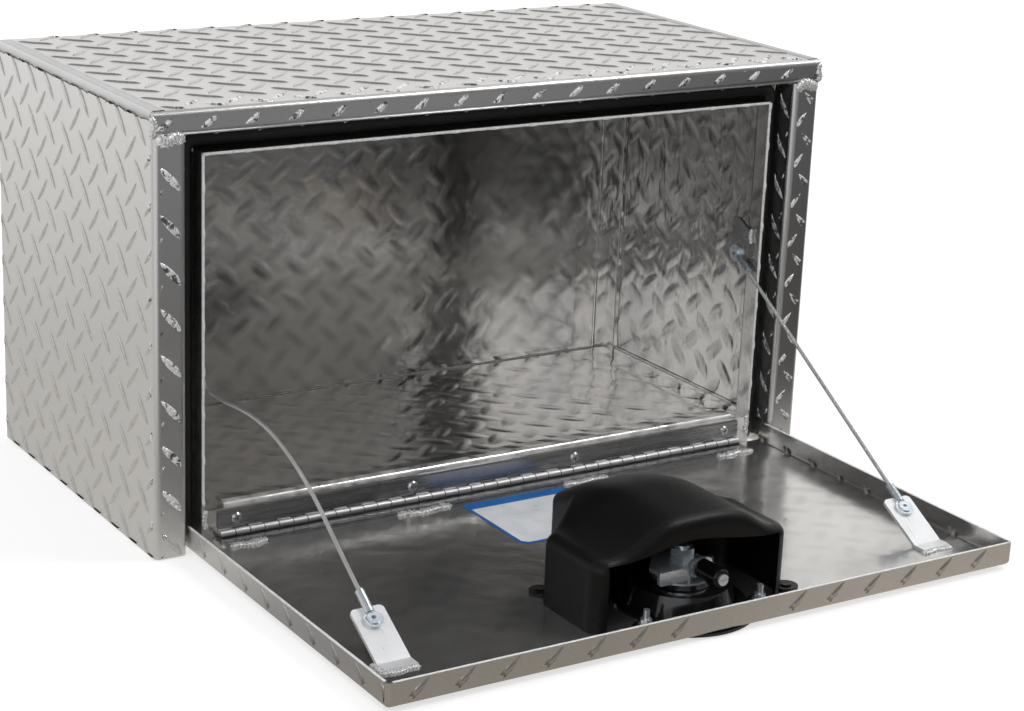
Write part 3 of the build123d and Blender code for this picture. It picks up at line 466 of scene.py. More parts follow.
def tread_plate(look, outside, ghosts, z, smooth, dark, depth, streaks=None):
    """Tread plate: satin with fine speckle outside, smooth with soft waves and ghosts of the lugs inside."""
    inside = outside.line(-1.0, 1.0)
    speckle = look.noise(1100)
    blotch = look.noise(11, 4.0, distortion=0.4)
    smear = look.noise(60, stretch=(0.25, 1, 2.2))
    marks = ghosts * look.noise(9, 2.0).spread(-0.3, 1.9).clamped()
    rough_out = blotch.spread(0.30, 0.38) + speckle.line(0.12, -0.06)
    rough_in = blotch.spread(smooth, smooth + 0.15) + smear.line(0.10, -0.05)
    look.set("Roughness", rough_in * inside + rough_out * outside)
    tone_out = speckle.ramp([(0.35, (0.76, 0.755, 0.75)), (0.65, (0.85, 0.845, 0.84))])
    tone_in = blotch.ramp([(0.25, 0.60), (0.45, (0.80, 0.79, 0.775)), (0.75, (0.92, 0.91, 0.90))])
    # Painted shade: the inside is darkened towards the top, to half its tone there, and a little at the very
    # bottom.
    painted_shade_by_height = z.ramp([(0.0, 0.92), (0.10, 1.0), (0.22, 0.60), (0.34, 0.50)])
    tone_in_with_painted_shade = mixed(1.0, tone_in, painted_shade_by_height * (marks * dark).line(-1.0, 1.04), "MULTIPLY")
    look.set("Base Color", mixed(outside, tone_in_with_painted_shade, tone_out))
    swell = look.noise(46, 2.0) * 0.5
    if streaks:
        swell = swell + streaks
    look.bump((swell + marks * depth) * inside, 1.0, 0.0006)
    look.bump(speckle * outside, 0.05, 0.0002)


def hinge_steel():
    """Stainless strip: dull and dark on the leaves, with a painted highlight as a much lighter tone round the
    knuckles, and painted shade on their lower side below the pin.
    """
    look = Look("hinge_stainless", metallic=1.0)
    _, y, z = xyz(look.place)
    from_pin = ((y - HINGE_Y * MM) ** 2 + (z - HINGE_Z * MM) ** 2).maths("SQRT")
    on_knuckle = from_pin.below((KNUCKLE_R + 0.4) * MM)
    brushed = look.noise(500, 4.0, (0.05, 1, 1))
    leaf = brushed.ramp([(0.3, (0.27, 0.275, 0.29)), (0.7, (0.40, 0.405, 0.42))])
    # Painted highlight: the knuckles get a much lighter tone than the leaves; painted shade darkens the
    # knuckles below the pin.
    knuckle_painted_highlight = brushed.ramp([(0.3, (0.66, 0.66, 0.65)), (0.7, (0.86, 0.86, 0.85))])
    painted_shade_below_pin = z.line(1 / MM, -HINGE_Z).spread(0.5, 0.6).ramp([(0.40, 0.22), (0.56, 1.0)])
    look.set("Base Color", mixed(on_knuckle, leaf, mixed(1.0, knuckle_painted_highlight, painted_shade_below_pin, "MULTIPLY")))
    look.set("Roughness", brushed.spread(0.20, 0.34) + on_knuckle * 0.16)
    look.bump(brushed, 0.1, 0.0002)
    return look.material


def zinc_plate():
    """Bright bluish zinc plating, slightly crinkled."""
    look = Look("zinc_plate", metallic=0.82)
    crinkle = look.noise(330, 4.0, distortion=0.6)
    slow = look.noise(90, 2.0)
    look.set("Base Color", slow.ramp([(0.3, (0.66, 0.74, 0.80)), (0.7, (0.84, 0.90, 0.94))]))
    look.set("Roughness", crinkle.spread(0.14, 0.34))
    look.bump(crinkle, 0.45, 0.0003)
    return look.material


def lug_polish():
    """The lugs: like the sheet, with painted highlights and painted shade as bright and dark flecks where
    they are bent over the front.
    """
    look = Look("tread_lug")
    x, y, z = xyz(look.place)
    off_front = abs(y - FRONT * MM)
    in_channel = off_front.below(27 * MM) * abs(x).below((JAMB_EDGE_X + 6) * MM)
    front = either(in_channel, off_front.below(6.5 * MM)) * z.above(24 * MM)
    fleck = look.noise(240, 2.0, distortion=0.6)
    plain = fleck.ramp([(0.35, (0.62, 0.61, 0.595)), (0.65, (0.74, 0.73, 0.715))])
    # Painted highlights and painted shade: the front lugs are flecked nearly white and nearly black, and made
    # less metallic so that these flecks show.
    torn = fleck.ramp([(0.39, 0.12), (0.45, 0.62), (0.52, 0.98)])
    look.set("Metallic", front.line(-0.6, 1.0))
    look.set("Base Color", mixed(front, plain, torn))
    look.set("Roughness", look.noise(900, 2.0).spread(0.20, 0.30) + front * 0.02)
    look.bump(fleck * front.line(0.9, 0.1), 1.0, 0.0014)
    return look.material


def cut_edge():
    """The sheared edge of a sheet: pale, torn and matt."""
    look = Look("cut_edge", metallic=0.15)
    torn = look.noise(420)
    look.set("Base Color", torn.ramp([(0.3, (0.70, 0.70, 0.69)), (0.6, (0.92, 0.92, 0.91))]))
    look.set("Roughness", torn.spread(0.3, 0.5))
    look.bump(torn, 0.3, 0.0004)
    return look.material


def crevice_painted_shade():
    """Painted shade: a dark brownish tone for narrow gaps, screw recesses and the line under the ground
    strip.
    """
    look = Look("crevice_painted_shade")
    painted_shade = look.noise(300)
    look.set("Base Color", painted_shade.ramp([(0.35, (0.05, 0.042, 0.034)), (0.65, (0.22, 0.20, 0.17))]))
    look.set("Roughness", painted_shade.spread(0.5, 0.8))
    return look.material


def black_plastic(name, grain_scale, grain, roughness):
    """Moulded black plastic with a fine grain."""
    look = Look(name)
    slow = look.noise(14)
    look.set("Base Color", slow.ramp([(0.3, (0.002, 0.002, 0.0022)), (0.7, (0.004, 0.004, 0.0043))]))
    look.set("Roughness", slow.spread(roughness - 0.06, roughness + 0.08))
    look.set("Specular IOR Level", 0.32)
    look.bump(look.noise(grain_scale, 2.0), grain, 0.0004)
    return look.material


def black_paint():
    """Glossy black coating with a faint orange peel."""
    look = Look("black_gloss")
    peel = look.noise(320, 2.0)
    look.set("Base Color", peel.ramp([(0.3, (0.006, 0.006, 0.007)), (0.7, (0.012, 0.012, 0.013))]))
    look.set("Roughness", peel.spread(0.10, 0.22))
    look.set("Coat Weight", 0.6)
    look.set("Coat Roughness", 0.06)
    look.bump(peel, 0.12, 0.0003)
    return look.material


def rubber():
    """Soft black rubber with a dull sheen."""
    look = Look("seal_rubber")
    fine = look.noise(700, 2.0)
    look.set("Base Color", look.noise(20, 2.0).ramp([(0.3, 0.008), (0.7, 0.016)]))
    look.set("Roughness", fine.spread(0.28, 0.42))
    look.bump(fine, 0.15, 0.0003)
    return look.material


def weld_metal():
    """Bright weld aluminium with dark flecks between its ripples."""
    look = Look("weld_aluminium", metallic=0.6)
    slow = look.noise(140, 2.0)
    look.set("Base Color", look.noise(800).ramp([(0.32, 0.40), (0.52, 0.95)]))
    look.set("Roughness", slow.spread(0.16, 0.42))
    look.bump(slow, 0.25, 0.0004)
    return look.material


def label_paper():
    """A plain printed sticker: white with a blue band and border, and nothing written on it."""
    look = Look("label_film")
    x, y, _ = xyz(look.place)
    x0, x1, y0, y1 = [value * MM for value in LABEL_BOX]
    border = LABEL_BORDER * MM
    from_cut = (x - x0) + (y - y0)
    blue = either(x.below(x0 + border), x.above(x1 - border), y.below(y0 + border),
                  y.above(y1 - LABEL_BAND * MM), from_cut.below((LABEL_CUT + LABEL_BORDER * 1.4) * MM))
    wear = look.noise(60)
    white_tone = wear.ramp([(0.3, (0.72, 0.76, 0.80)), (0.6, (0.84, 0.86, 0.88))])
    blue_tone = wear.ramp([(0.3, (0.003, 0.12, 0.42)), (0.6, (0.005, 0.16, 0.52))])
    look.set("Base Color", mixed(blue, white_tone, blue_tone))
    look.set("Roughness", wear.spread(0.22, 0.4))
    return look.material


# Mesh helpers

def mesh(name, vertices, faces, material, body=None, smooth=True):
    """A mesh object from millimetre points, with its material, riding on a body."""
    data = bpy.data.meshes.new(name)
    data.from_pydata([tuple(c * MM for c in v) for v in vertices], [], faces)
    data.materials.append(material)
    for polygon in data.polygons:
        polygon.use_smooth = smooth
    data.validate()
    data.update()
    made = placed(name, data)
    if body:
        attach(made, body)
    return made


def held(value, low, high):
    """A plain number held between low and high."""
    return min(max(value, low), high)


def straight(start, end, count):
    """Points at even steps from start to end, both included."""
    start, end = Vector(start), Vector(end)
    return [start.lerp(end, i / count) for i in range(count + 1)]


def stepped(start, end, step):
    """Points about a step apart from start to end."""
    return straight(start, end, int((Vector(end) - Vector(start)).length / step))


def skin(faces, first, rings, sides):
    """The faces of a tube over rings of points, with a cap at each end."""
    for i in range(rings - 1):
        for k in range(sides):
            a, b = first + i * sides + k, first + i * sides + (k + 1) % sides
            faces.append((a, b, b + sides, a + sides))
    faces.append(tuple(first + k for k in reversed(range(sides))))
    faces.append(tuple(first + (rings - 1) * sides + k for k in range(sides)))


def tube(points, radii, sides, vertices, faces, squash=1.0, up=None):
    """Adds a round or flattened tube along points, closed at both ends, to the lists."""
    first, count = len(vertices), len(points)
    reference = up or Vector((0, 0, 1))
    for i, point in enumerate(points):
        ahead = (points[min(i + 1, count - 1)] - points[max(i - 1, 0)]).normalized()
        side = ahead.cross(reference)
        if side.length < 0.05:
            side = ahead.cross(Vector((1, 0, 0)))
        side.normalize()
        top = side.cross(ahead)
        for k in range(sides):
            turn = 2 * pi * k / sides
            vertices.append(point + side * cos(turn) * radii[i] + top * sin(turn) * radii[i] * squash)
    skin(faces, first, count, sides)


# Tread pattern

class Fold:
    """A folded sheet's outer surface. at(s) gives the point and the outward normal at distance s."""

    def __init__(self, points, radius, outward):
        self.radius = radius
        self.parts = []
        corners = [Vector(p) for p in points]
        start = corners[0]
        for i in range(1, len(corners)):
            run = (corners[i] - corners[i - 1]).normalized()
            normal = Vector((-run.y, run.x)) * outward
            is_last = i + 1 == len(corners)
            end = corners[i] if is_last else corners[i] - run * radius
            self.parts.append(("line", (end - start).length, start, run, normal))
            if not is_last:
                after = (corners[i + 1] - corners[i]).normalized()
                self.parts.append(("arc", radius * pi / 2, end - normal * radius, normal, after))
                start = corners[i] + after * radius
        self.length = sum(part[1] for part in self.parts)

    def at(self, s):
        """The point and the outward normal at distance s."""
        index = 0
        while s > self.parts[index][1] and index < len(self.parts) - 1:
            s -= self.parts[index][1]
            index += 1
        kind, length, place, first, second = self.parts[index]
        if kind == "line":
            return place + first * s, second
        turn = s / length * pi / 2
        normal = first * cos(turn) + second * sin(turn)
        return place + normal * self.radius, normal


def lug_points():
    """One lug in its own plane: rings of (along, across, height) from the rim to the crest."""
    rows = []
    for ring in LUG_RINGS:
        row = []
        for k in range(LUG_SIDES):
            turn = 2 * pi * k / LUG_SIDES
            along = cos(turn) * LUG_L / 2
            taper = 1 - (along / (LUG_L / 2)) ** 2
            across = sin(turn) * LUG_W / 2 * max(taper, 0.0) ** 0.35
            row.append((along * (0.5 + 0.5 * ring), across * ring, LUG_H * (1 - ring ** 2.6)))
        rows.append(row)
    return rows


def lug_field(place, s_range, t_range, keep, shift):
    """Vertices and faces of the lugs over an unrolled area. place(s, t, h) gives a point."""
    vertices, faces = [], []
    rows = lug_points()
    (s0, s1), (t0, t1) = s_range, t_range
    reach = LUG_L * 0.36
    for direction, offset in LUG_SETS:
        c, d = cos(LUG_TILT * direction), sin(LUG_TILT * direction)
        for i in range(floor(t0 / LUG_PITCH) - 1, ceil(t1 / LUG_PITCH) + 2):
            for j in range(floor(s0 / LUG_PITCH) - 1, ceil(s1 / LUG_PITCH) + 2):
                t_mid = (i + offset) * LUG_PITCH + shift[1]
                s_mid = (j + offset) * LUG_PITCH + shift[0]
                in_reach = s0 - reach < s_mid < s1 + reach and t0 - reach < t_mid < t1 + reach
                if not in_reach or not keep(s_mid, t_mid):
                    continue
                first = len(vertices)
                for along, across, high in (point for row in rows for point in row):
                    t = t_mid + along * c - across * d
                    s = s_mid + along * d + across * c
                    vertices.append(place(held(s, s0, s1), held(t, t0, t1), high - LUG_SINK))
                vertices.append(place(held(s_mid, s0, s1), held(t_mid, t0, t1), LUG_H))
                add_cap(faces, first, len(rows))
    return vertices, faces


def add_cap(faces, first, rows):
    """The faces of one lug: bands between its rings and a fan to its crest, the point after the rings."""
    crest = first + rows * LUG_SIDES
    for row in range(rows):
        for k in range(LUG_SIDES):
            a, b = first + row * LUG_SIDES + k, first + row * LUG_SIDES + (k + 1) % LUG_SIDES
            faces.append((a, b, crest) if row == rows - 1 else (a, b, b + LUG_SIDES, a + LUG_SIDES))


def lugs(name, body, material, place, s_range, t_range, keep, shift=(0.0, 0.0), flip=False):
    """A node of lugs over one folded sheet."""
    vertices, faces = lug_field(place, s_range, t_range, keep, shift)
    if flip:
        faces = [tuple(reversed(f)) for f in faces]
    mesh(name, vertices, faces, material, body)


def along_x(fold):
    """Places lugs on a sheet that is folded in the side view, with t along X."""
    def place(s, t, h):
        p, n = fold.at(s)
        return Vector((t, p.x + n.x * h, p.y + n.y * h))
    return place


def make_lugs(material):
    """The tread pattern on the outer face of every sheet, wrapped round the bends."""
    top = Fold([(BACK, CASE_H), (FRONT, CASE_H), (FRONT, HEADER_EDGE_Z), (CHANNEL_FLOOR_Y, HEADER_EDGE_Z)],
               BEND_R, -1)
    half = CASE_W / 2 - LUG_MARGIN

    def keep_top(s, t):
        on_header = s > CASE_D + BEND_R / 2
        return on_header or abs(t) < CASE_W / 2 - STRIP_TOP - LUG_L * 0.22

    lugs("top_lugs", "case", material, along_x(top), (LUG_MARGIN, top.length - CHANNEL_BARE), (-half, half),
         keep_top, shift=(5.0, 20.0))
    make_side_lugs(material)

    border, bend_clearance = 8, 18

    def on_back(s, t, h):
        return Vector((t, BACK + h, s))

    def keep_back(s, t):
        return abs(t) < LUG_HALF_SPAN and border < s < CASE_H - border

    wide = (-LUG_HALF_SPAN - 10, LUG_HALF_SPAN + 10)
    inset = SHEET + LUG_MARGIN
    lugs("back_lugs", "case", material, on_back, (inset, CASE_H - inset), wide, keep_back)
    under = Fold([(BACK, 0), (APRON_Y, 0), (APRON_Y, APRON_H), (APRON_Y + APRON_RETURN, APRON_H)], BEND_R, 1)
    flat_end = BACK - APRON_Y - BEND_R

    def keep_floor(s, t):
        return s < flat_end - bend_clearance and abs(t) < LUG_HALF_SPAN

    lugs("floor_lugs", "case", material, along_x(under), (LUG_MARGIN, under.length - 0.3), wide, keep_floor,
         flip=True)
    make_door_lugs(material)


def make_side_lugs(material):
    """The pattern on both side sheets, round the jambs and into the seal's channel."""
    outer, inner = CASE_W / 2, JAMB_EDGE_X
    side = Fold([(outer, BACK), (outer, FRONT), (inner, FRONT), (inner, CHANNEL_FLOOR_Y)], BEND_R, 1)
    jamb_start = CASE_D - BEND_R
    return_start = jamb_start + BEND_R * pi + outer - inner - 2 * BEND_R

    def keep_side(s, t):
        return s < jamb_start or t < HEADER_EDGE_Z - LUG_L * 0.3

    for sign, name, shift in ((-1, "left_side_lugs", (7.0, 10.0)), (1, "right_side_lugs", (14.85, 5.0))):

        def on_side(s, t, h, sign=sign):
            p, n = side.at(s)
            h *= PRESSED if s > return_start else 1.0
            return Vector((sign * (p.x + n.x * h), p.y + n.y * h, t))

        lugs(name, "case", material, on_side, (LUG_MARGIN, side.length - CHANNEL_BARE),
             (LUG_MARGIN, CASE_H - STRIP_SIDE - 1), keep_side, shift, flip=sign > 0)


def make_door_lugs(material):
    """The lugs under the door and round its three rims."""
    rim_z = DOOR_Z0 + DOOR_RIM - 0.8
    half = DOOR_HALF_W - DOOR_EDGE_R
    bowl_clearance = 76
    free = Fold([(DOOR_TAIL_Y, DOOR_Z0), (DOOR_FREE_Y, DOOR_Z0), (DOOR_FREE_Y, rim_z)], DOOR_EDGE_R, 1)

    def keep_free(s, t):
        clear_of_bowl = hypot(t, DOOR_TAIL_Y - s - LATCH_Y) > bowl_clearance
        return clear_of_bowl and abs(t) < DOOR_HALF_W - 8 and s < free.length

    lugs("door_lugs", "door", material, along_x(free), (LUG_MARGIN, free.length), (-half, half), keep_free,
         shift=(22.1, 9.0), flip=True)
    side_end = DOOR_TAIL_Y - DOOR_FREE_Y - DOOR_EDGE_R
    rim = Fold([(0, DOOR_Z0), (DOOR_HALF_W, DOOR_Z0), (DOOR_HALF_W, rim_z)], DOOR_EDGE_R, -1)

    def keep_rim(s, t):
        return s < rim.length

    for sign, side in SIDES:

        def on_rim(s, t, h, sign=sign):
            p, n = rim.at(s)
            return Vector((sign * (p.x + n.x * h * PRESSED), DOOR_TAIL_Y - t, p.y + n.y * h))

        lugs(side + "_rim_lugs", "door", material, on_rim, (half + 0.5, rim.length), (LUG_MARGIN, side_end),
             keep_rim, flip=sign < 0)


# Welds

def bead(name, start, end, width, height, material, body, ripple=2.2, seed=1, normal=(0, 0, 1), lumps=0.05):
    """A rippled weld bead from start to end, half sunk into what it joins."""
    local = random.Random(seed)
    start, end = Vector(start), Vector(end)
    length = (end - start).length
    steps = max(6, int(length / ripple * 5))
    points, radii = [], []
    drift = Vector(normal).cross((end - start).normalized())
    for i in range(steps + 1):
        share = i / steps
        wave = abs(sin(pi * share * length / ripple))
        ends = min(1.0, 4 * share * length / width, 4 * (1 - share) * length / width)
        radii.append(width / 2 * max(0.25, ends) * (0.74 + 0.26 * wave) * (1 + local.uniform(-lumps, lumps)))
        points.append(start.lerp(end, share) + drift * sin(share * 9 + seed) * width * 0.14)
    vertices, faces = [], []
    tube(points, radii, 12, vertices, faces, squash=height / width * 2, up=Vector(normal))
    mesh(name, vertices, faces, material, body)


def make_welds(material):
    """Beads where the sheets, the hinge and the tabs are welded."""
    front = dict(material=material, body="case", normal=(0, -1, 0))
    for sign, side in SIDES:
        inner, outer, x = sign * (JAMB_EDGE_X + 1), sign * (CASE_W / 2 - 2), sign * (CASE_W / 2 - 1)
        bead(side + "_header_weld", (inner, FRONT, HEADER_EDGE_Z - 2), (outer, FRONT, HEADER_EDGE_Z - 1),
             10.0, 2.6, ripple=2.7, seed=3 + sign, **front)
        bead(side + "_header_end_weld", (x, FRONT + 0.6, HEADER_EDGE_Z), (x, FRONT + 0.6, CASE_H - 3),
             6.0, 2.0, seed=7 + sign, **front)
        x = sign * LIP_FACE_X
        bead(side + "_sill_weld", (x, APRON_Y - 1, 14), (x, APRON_Y, 30), 4.5, 1.6, seed=11 + sign, **front)
        x, y = sign * (LIP_FACE_X - 1.6), FRONT + 20.2
        bead(side + "_anchor_weld", (x, y, 186), (x, y, 200), 4.0, 2.0, material, "case",
             seed=15 + sign, normal=(-sign, 0, 0))
        x, y, z = sign * TAB_X, HINGE_Y - 274.5, DOOR_Z1
        bead(side + "_tab_weld_foot", (x - 17, y, z), (x + 15, y + 1, z), 7.5, 2.4,
             material, "door", seed=21 + sign)
        bead(side + "_tab_weld_side", (x + sign * 13.5, y + 1.5, z), (x + sign * 14, y + 18.5, z), 6.0, 2.2,
             material, "door", seed=25 + sign)
    y, z = HINGE_Y - 18.0, DOOR_Z1 + 0.6
    for index, (x, reach) in enumerate(((-237, 17), (-79, 26), (79, 23), (237, 20))):
        bead("hinge_weld_%d" % index, (x - reach, y - 0.5, z), (x + reach, y + 0.3, z), 8.5, 2.2,
             material, "door", ripple=3.4, seed=31 + index, lumps=0.3)


# Ground strips and sheared edges

def make_strips(material, painted_shade):
    """The satin strips ground smooth along the top's side edges, and a dark line of painted shade along the
    torn edge below each.
    """
    lift, corner_r, steps = 0.35, 3.0, 60
    outline = [(STRIP_TOP, -0.4), (STRIP_TOP - 0.8, lift)]
    for k in range(6):
        turn = pi / 2 * (1 + k / 5)
        outline.append((corner_r + (corner_r + lift) * cos(turn), -corner_r + (corner_r + lift) * sin(turn)))
    outline += [(-lift, -STRIP_SIDE), (0.4, -STRIP_SIDE - 0.8)]
    count = len(outline)
    wander = random.Random(12)
    for sign, side in SIDES:
        vertices, faces, torn = [], [], []
        for i in range(steps + 1):
            y = FRONT + 4 + (BACK - FRONT - 5) * i / steps
            inner = wander.uniform(-0.5, 0.5)
            lower = wander.uniform(-0.9, 0.9)
            for k, (across, up) in enumerate(outline):
                across += inner if k < 2 else 0
                up -= lower if k > count - 3 else 0
                vertices.append(Vector((sign * (CASE_W / 2 - across), y, CASE_H + up)))
            torn.append(Vector((sign * (CASE_W / 2 + 0.1), y, CASE_H - STRIP_SIDE - 1.2 - lower)))
        for i in range(steps):
            for k in range(count - 1):
                a = i * count + k
                quad = (a, a + 1, a + 1 + count, a + count)
                faces.append(quad if sign < 0 else tuple(reversed(quad)))
        mesh(side + "_ground_strip", vertices, faces, material, "case")
        vertices, faces = [], []
        # Painted shade: a dark tube along the torn edge below the strip.
        tube(torn, [wander.uniform(0.25, 0.75) for _ in torn], 6, vertices, faces)
        mesh(side + "_painted_shade_line", vertices, faces, painted_shade, "case")


def rods(name, runs, step, radius, sides, material, body, **shape):
    """Thin rods along straight runs. radius() gives the next point's radius."""
    vertices, faces = [], []
    for start, end in runs:
        line = stepped(start, end, step)
        tube(line, [radius() for _ in line], sides, vertices, faces, **shape)
    mesh(name, vertices, faces, material, body)


def make_inner_edges(material):
    """The thin bright edges inside the case: on the flanges of back and floor, and the seam at the back."""
    inner_x = CASE_W / 2 - 2 * SHEET
    fine, flange_y = 0.6, BACK - BACK_FLANGE
    seam_y, seam_z = BACK - SHEET - fine, SHEET + fine
    runs = [((-inner_x, seam_y, seam_z), (inner_x, seam_y, seam_z))]
    for x in (-inner_x, inner_x):
        runs.append(((x, flange_y, SHEET + 2), (x, flange_y, CASE_H - SHEET - 4)))
        runs.append(((x, FRONT + 31, FLOOR_FLANGE_H), (x, flange_y - 2, FLOOR_FLANGE_H)))
    jitter = random.Random(17)
    rods("inner_edges", runs, 5, lambda: fine * jitter.uniform(0.8, 1.25), 8, material, "case",
         up=Vector((0.3, 0.5, 0.8)))


def make_lip_edges(material):
    """The sheared front edge of the door frame's lip, with a burr at each lug."""
    y, radius = FRONT + 10.0, SHEET / 2
    x, top = LIP_FACE_X + radius, HEADER_LIP_Z + radius
    runs = [((-x, y, APRON_H), (-x, y, top)), ((-x, y, top), (x, y, top)), ((x, y, top), (x, y, APRON_H))]
    vertices, faces = [], []
    burrs = random.Random(9)
    for start, end in runs:
        line, radii = [], []
        for i, point in enumerate(stepped(start, end, 3)):
            at_lug = i % 12 in (0, 1)
            line.append(point + Vector((0, -0.6 if at_lug else -0.1, 0)))
            radii.append(radius * (1.15 if at_lug else 0.95) + burrs.uniform(-0.08, 0.08))
        tube(line, radii, 10, vertices, faces, up=Vector((0, 1, 0)))
    mesh("lip_edge", vertices, faces, material, "case")


def make_rim_edges(material):
    """The bright sheared top edge of the door's three rims."""
    top, radius = DOOR_Z0 + DOOR_RIM, SHEET / 2
    x, y, tail = DOOR_HALF_W - radius, DOOR_FREE_Y + radius, DOOR_TAIL_Y - 6
    corner = DOOR_EDGE_R
    runs = [((-x + corner, y, top), (x - corner, y, top)),
            ((-x, y + corner, top), (-x, tail, top)), ((x, y + corner, top), (x, tail, top))]
    burrs = random.Random(23)
    rods("door_rim_edge", runs, 4, lambda: radius * burrs.uniform(0.92, 1.08), 8, material, "door",
         squash=0.35)


def make_hinge_marks(material):
    """Painted shade: dark rings in the gaps between the knuckles and dark crosses for the recesses of the
    screws.
    """
    gap, proud, end_margin = 0.45, 0.12, 28
    vertices, faces = [], []
    count = int((DOOR_HALF_W - end_margin) / KNUCKLE_PITCH)
    for i in range(-count + 1, count):
        x = i * KNUCKLE_PITCH
        ends = [Vector((x - gap, HINGE_Y, HINGE_Z)), Vector((x + gap, HINGE_Y, HINGE_Z))]
        # Painted shade: a dark ring in the gap between two knuckles.
        tube(ends, [KNUCKLE_R + proud] * 2, 16, vertices, faces)
    mesh("knuckle_gaps", vertices, faces, material, "case")
    arm, arm_r, y = 1.9, 0.5, APRON_Y - 4.3
    vertices, faces = [], []
    for x in SCREW_XS:
        for dx, dz in ((arm, 0), (0, arm)):
            ends = [Vector((x - dx, y, SCREW_Z - dz)), Vector((x + dx, y, SCREW_Z + dz))]
            # Painted shade: a dark bar of the screw's cross recess.
            tube(ends, [arm_r, arm_r], 6, vertices, faces, up=Vector((0, 1, 0)))
    mesh("screw_recesses", vertices, faces, material, "case")


# Seal

def seal_corner(x, z, bend, first):
    """A quarter turn round (x, z) from the angle first, without its first point."""
    steps = 8
    turns = [first - pi / 2 * i / steps for i in range(1, steps + 1)]
    return [Vector((x + bend * cos(turn), 0, z + bend * sin(turn))) for turn in turns]


def make_seal(material):
    """A hollow-looking bulb seal in the frame's channel: a gripping root and a round bulb."""
    x = (JAMB_EDGE_X + LIP_FACE_X + SHEET) / 2
    z = (HEADER_EDGE_Z + HEADER_LIP_Z + SHEET) / 2
    bend, depth, half, foot, steps = 8.0, 6.7, 6.25, 4.0, 40
    corner_x, corner_z = x - bend, z - bend
    path = straight((-x, 0, foot), (-x, 0, corner_z), steps)
    path += seal_corner(-corner_x, corner_z, bend, pi)
    path += straight((-corner_x, 0, z), (corner_x, 0, z), steps)[1:]
    path += seal_corner(corner_x, corner_z, bend, pi / 2)
    path += straight((x, 0, corner_z), (x, 0, foot), steps)[1:]
    root = [(-half * 0.72, 0.0), (-half * 0.80, 1.0), (-half * 0.62, 1.9)]
    turns = [pi * 1.12 - pi * 1.24 * i / 12 for i in range(13)]
    bulb = [(half * 0.98 * cos(turn), 3.2 + (depth - 3.3) * sin(turn)) for turn in turns]
    outline = root + bulb + [(-a, b) for a, b in reversed(root)]
    vertices, faces = [], []
    wobble = random.Random(5)
    last = len(path) - 1
    for i, point in enumerate(path):
        ahead = (path[min(i + 1, last)] - path[max(i - 1, 0)]).normalized()
        side = Vector((ahead.z, 0, -ahead.x))
        end = 0.72 if i in (0, last) else 1.0
        jitter = wobble.uniform(-0.12, 0.12)
        for a, b in outline:
            out = b * end + (jitter if b > 3 else 0)
            vertices.append(point + side * a * end + Vector((0, CHANNEL_FLOOR_Y - max(out, 0), 0)))
    skin(faces, 0, len(path), len(outline))
    seal = mesh("bulb_seal", vertices, faces, material, "case")
    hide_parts("door_seal")


# Ropes

def door_eye(x):
    """The centre of the eye on a door tab."""
    bend_y = HINGE_Y - TAB_BEND_FROM_HINGE
    slope = atan2(ANCHOR_Z - DOOR_Z1, ANCHOR_Y - bend_y)
    along, out = TAB_RIVET_RUN, TAB_T + EYE_T / 2
    y, z = along * cos(slope) - out * sin(slope), along * sin(slope) + out * cos(slope)
    return Vector((x, bend_y + y, DOOR_Z1 + z))


def barrel_end(center, toward):
    """Where the rope leaves the barrel of an eye."""
    return center + (toward - center).normalized() * BARREL_END


def smooth_line(name, points):
    """The points of a smooth curve through the rope's route, in millimetres, as Blender gives them."""
    curve = bpy.data.curves.new(name, "CURVE")
    curve.dimensions = "3D"
    curve.resolution_u = 24
    spline = curve.splines.new("NURBS")
    spline.points.add(len(points) - 1)
    for spot, point in zip(spline.points, points):
        spot.co = (*(point * MM), 1)
    spline.order_u = 3
    spline.use_endpoint_u = True
    carrier = placed(name, curve)
    bpy.context.view_layer.update()
    data = bpy.data.meshes.new_from_object(carrier)
    line = [v.co / MM for v in data.vertices]
    bpy.data.objects.remove(carrier)
    bpy.data.meshes.remove(data)
    bpy.data.curves.remove(curve)
    return line


def even_line(line, step):
    """The same line, sampled at even steps."""
    total = sum((b - a).length for a, b in zip(line, line[1:]))
    count = max(2, int(total / step))
    out, index, done = [line[0]], 0, 0.0
    for k in range(1, count):
        want = total * k / count
        while done + (line[index + 1] - line[index]).length < want:
            done += (line[index + 1] - line[index]).length
            index += 1
        run = line[index + 1] - line[index]
        out.append(line[index] + run * ((want - done) / run.length))
    out.append(line[-1])
    return out, total


def wire_rope(name, node_name, points, material):
    """A wire rope of six twisted strands round a core, along a smooth route."""
    strands, pitch, sample, proud = 6, 17.0, 1.5, 1.04
    line, total = even_line(smooth_line(name + "_route", points), sample)
    strand_r, ring_r = ROPE_D / 6 * proud, ROPE_D / 3 * proud
    frames = []
    reference = Vector((1, 0, 0))
    for i, point in enumerate(line):
        ahead = (line[min(i + 1, len(line) - 1)] - line[max(i - 1, 0)]).normalized()
        side = (reference - ahead * reference.dot(ahead)).normalized()
        frames.append((point, side, ahead.cross(side)))
        reference = side
    vertices, faces = [], []
    step = total / (len(line) - 1)
    for strand in range(strands):
        path = []
        for i, (point, side, top) in enumerate(frames):
            turn = 2 * pi * (strand / strands + i * step / pitch)
            path.append(point + side * cos(turn) * ring_r + top * sin(turn) * ring_r)
        tube(path, [strand_r] * len(path), 7, vertices, faces, up=Vector((1, 0.3, 0.2)))
    tube([f[0] for f in frames], [strand_r] * len(frames), 6, vertices, faces)
    rope = mesh(name, vertices, faces, material)
    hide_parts(node_name)
    tuple(points[0] * MM)
    total * MM
    [tuple(p * MM) for p in line]
    taken = points[0].lerp(points[-1], 0.7)
    tuple(points[0] * MM)
    tuple(taken * MM)
    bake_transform(rope)


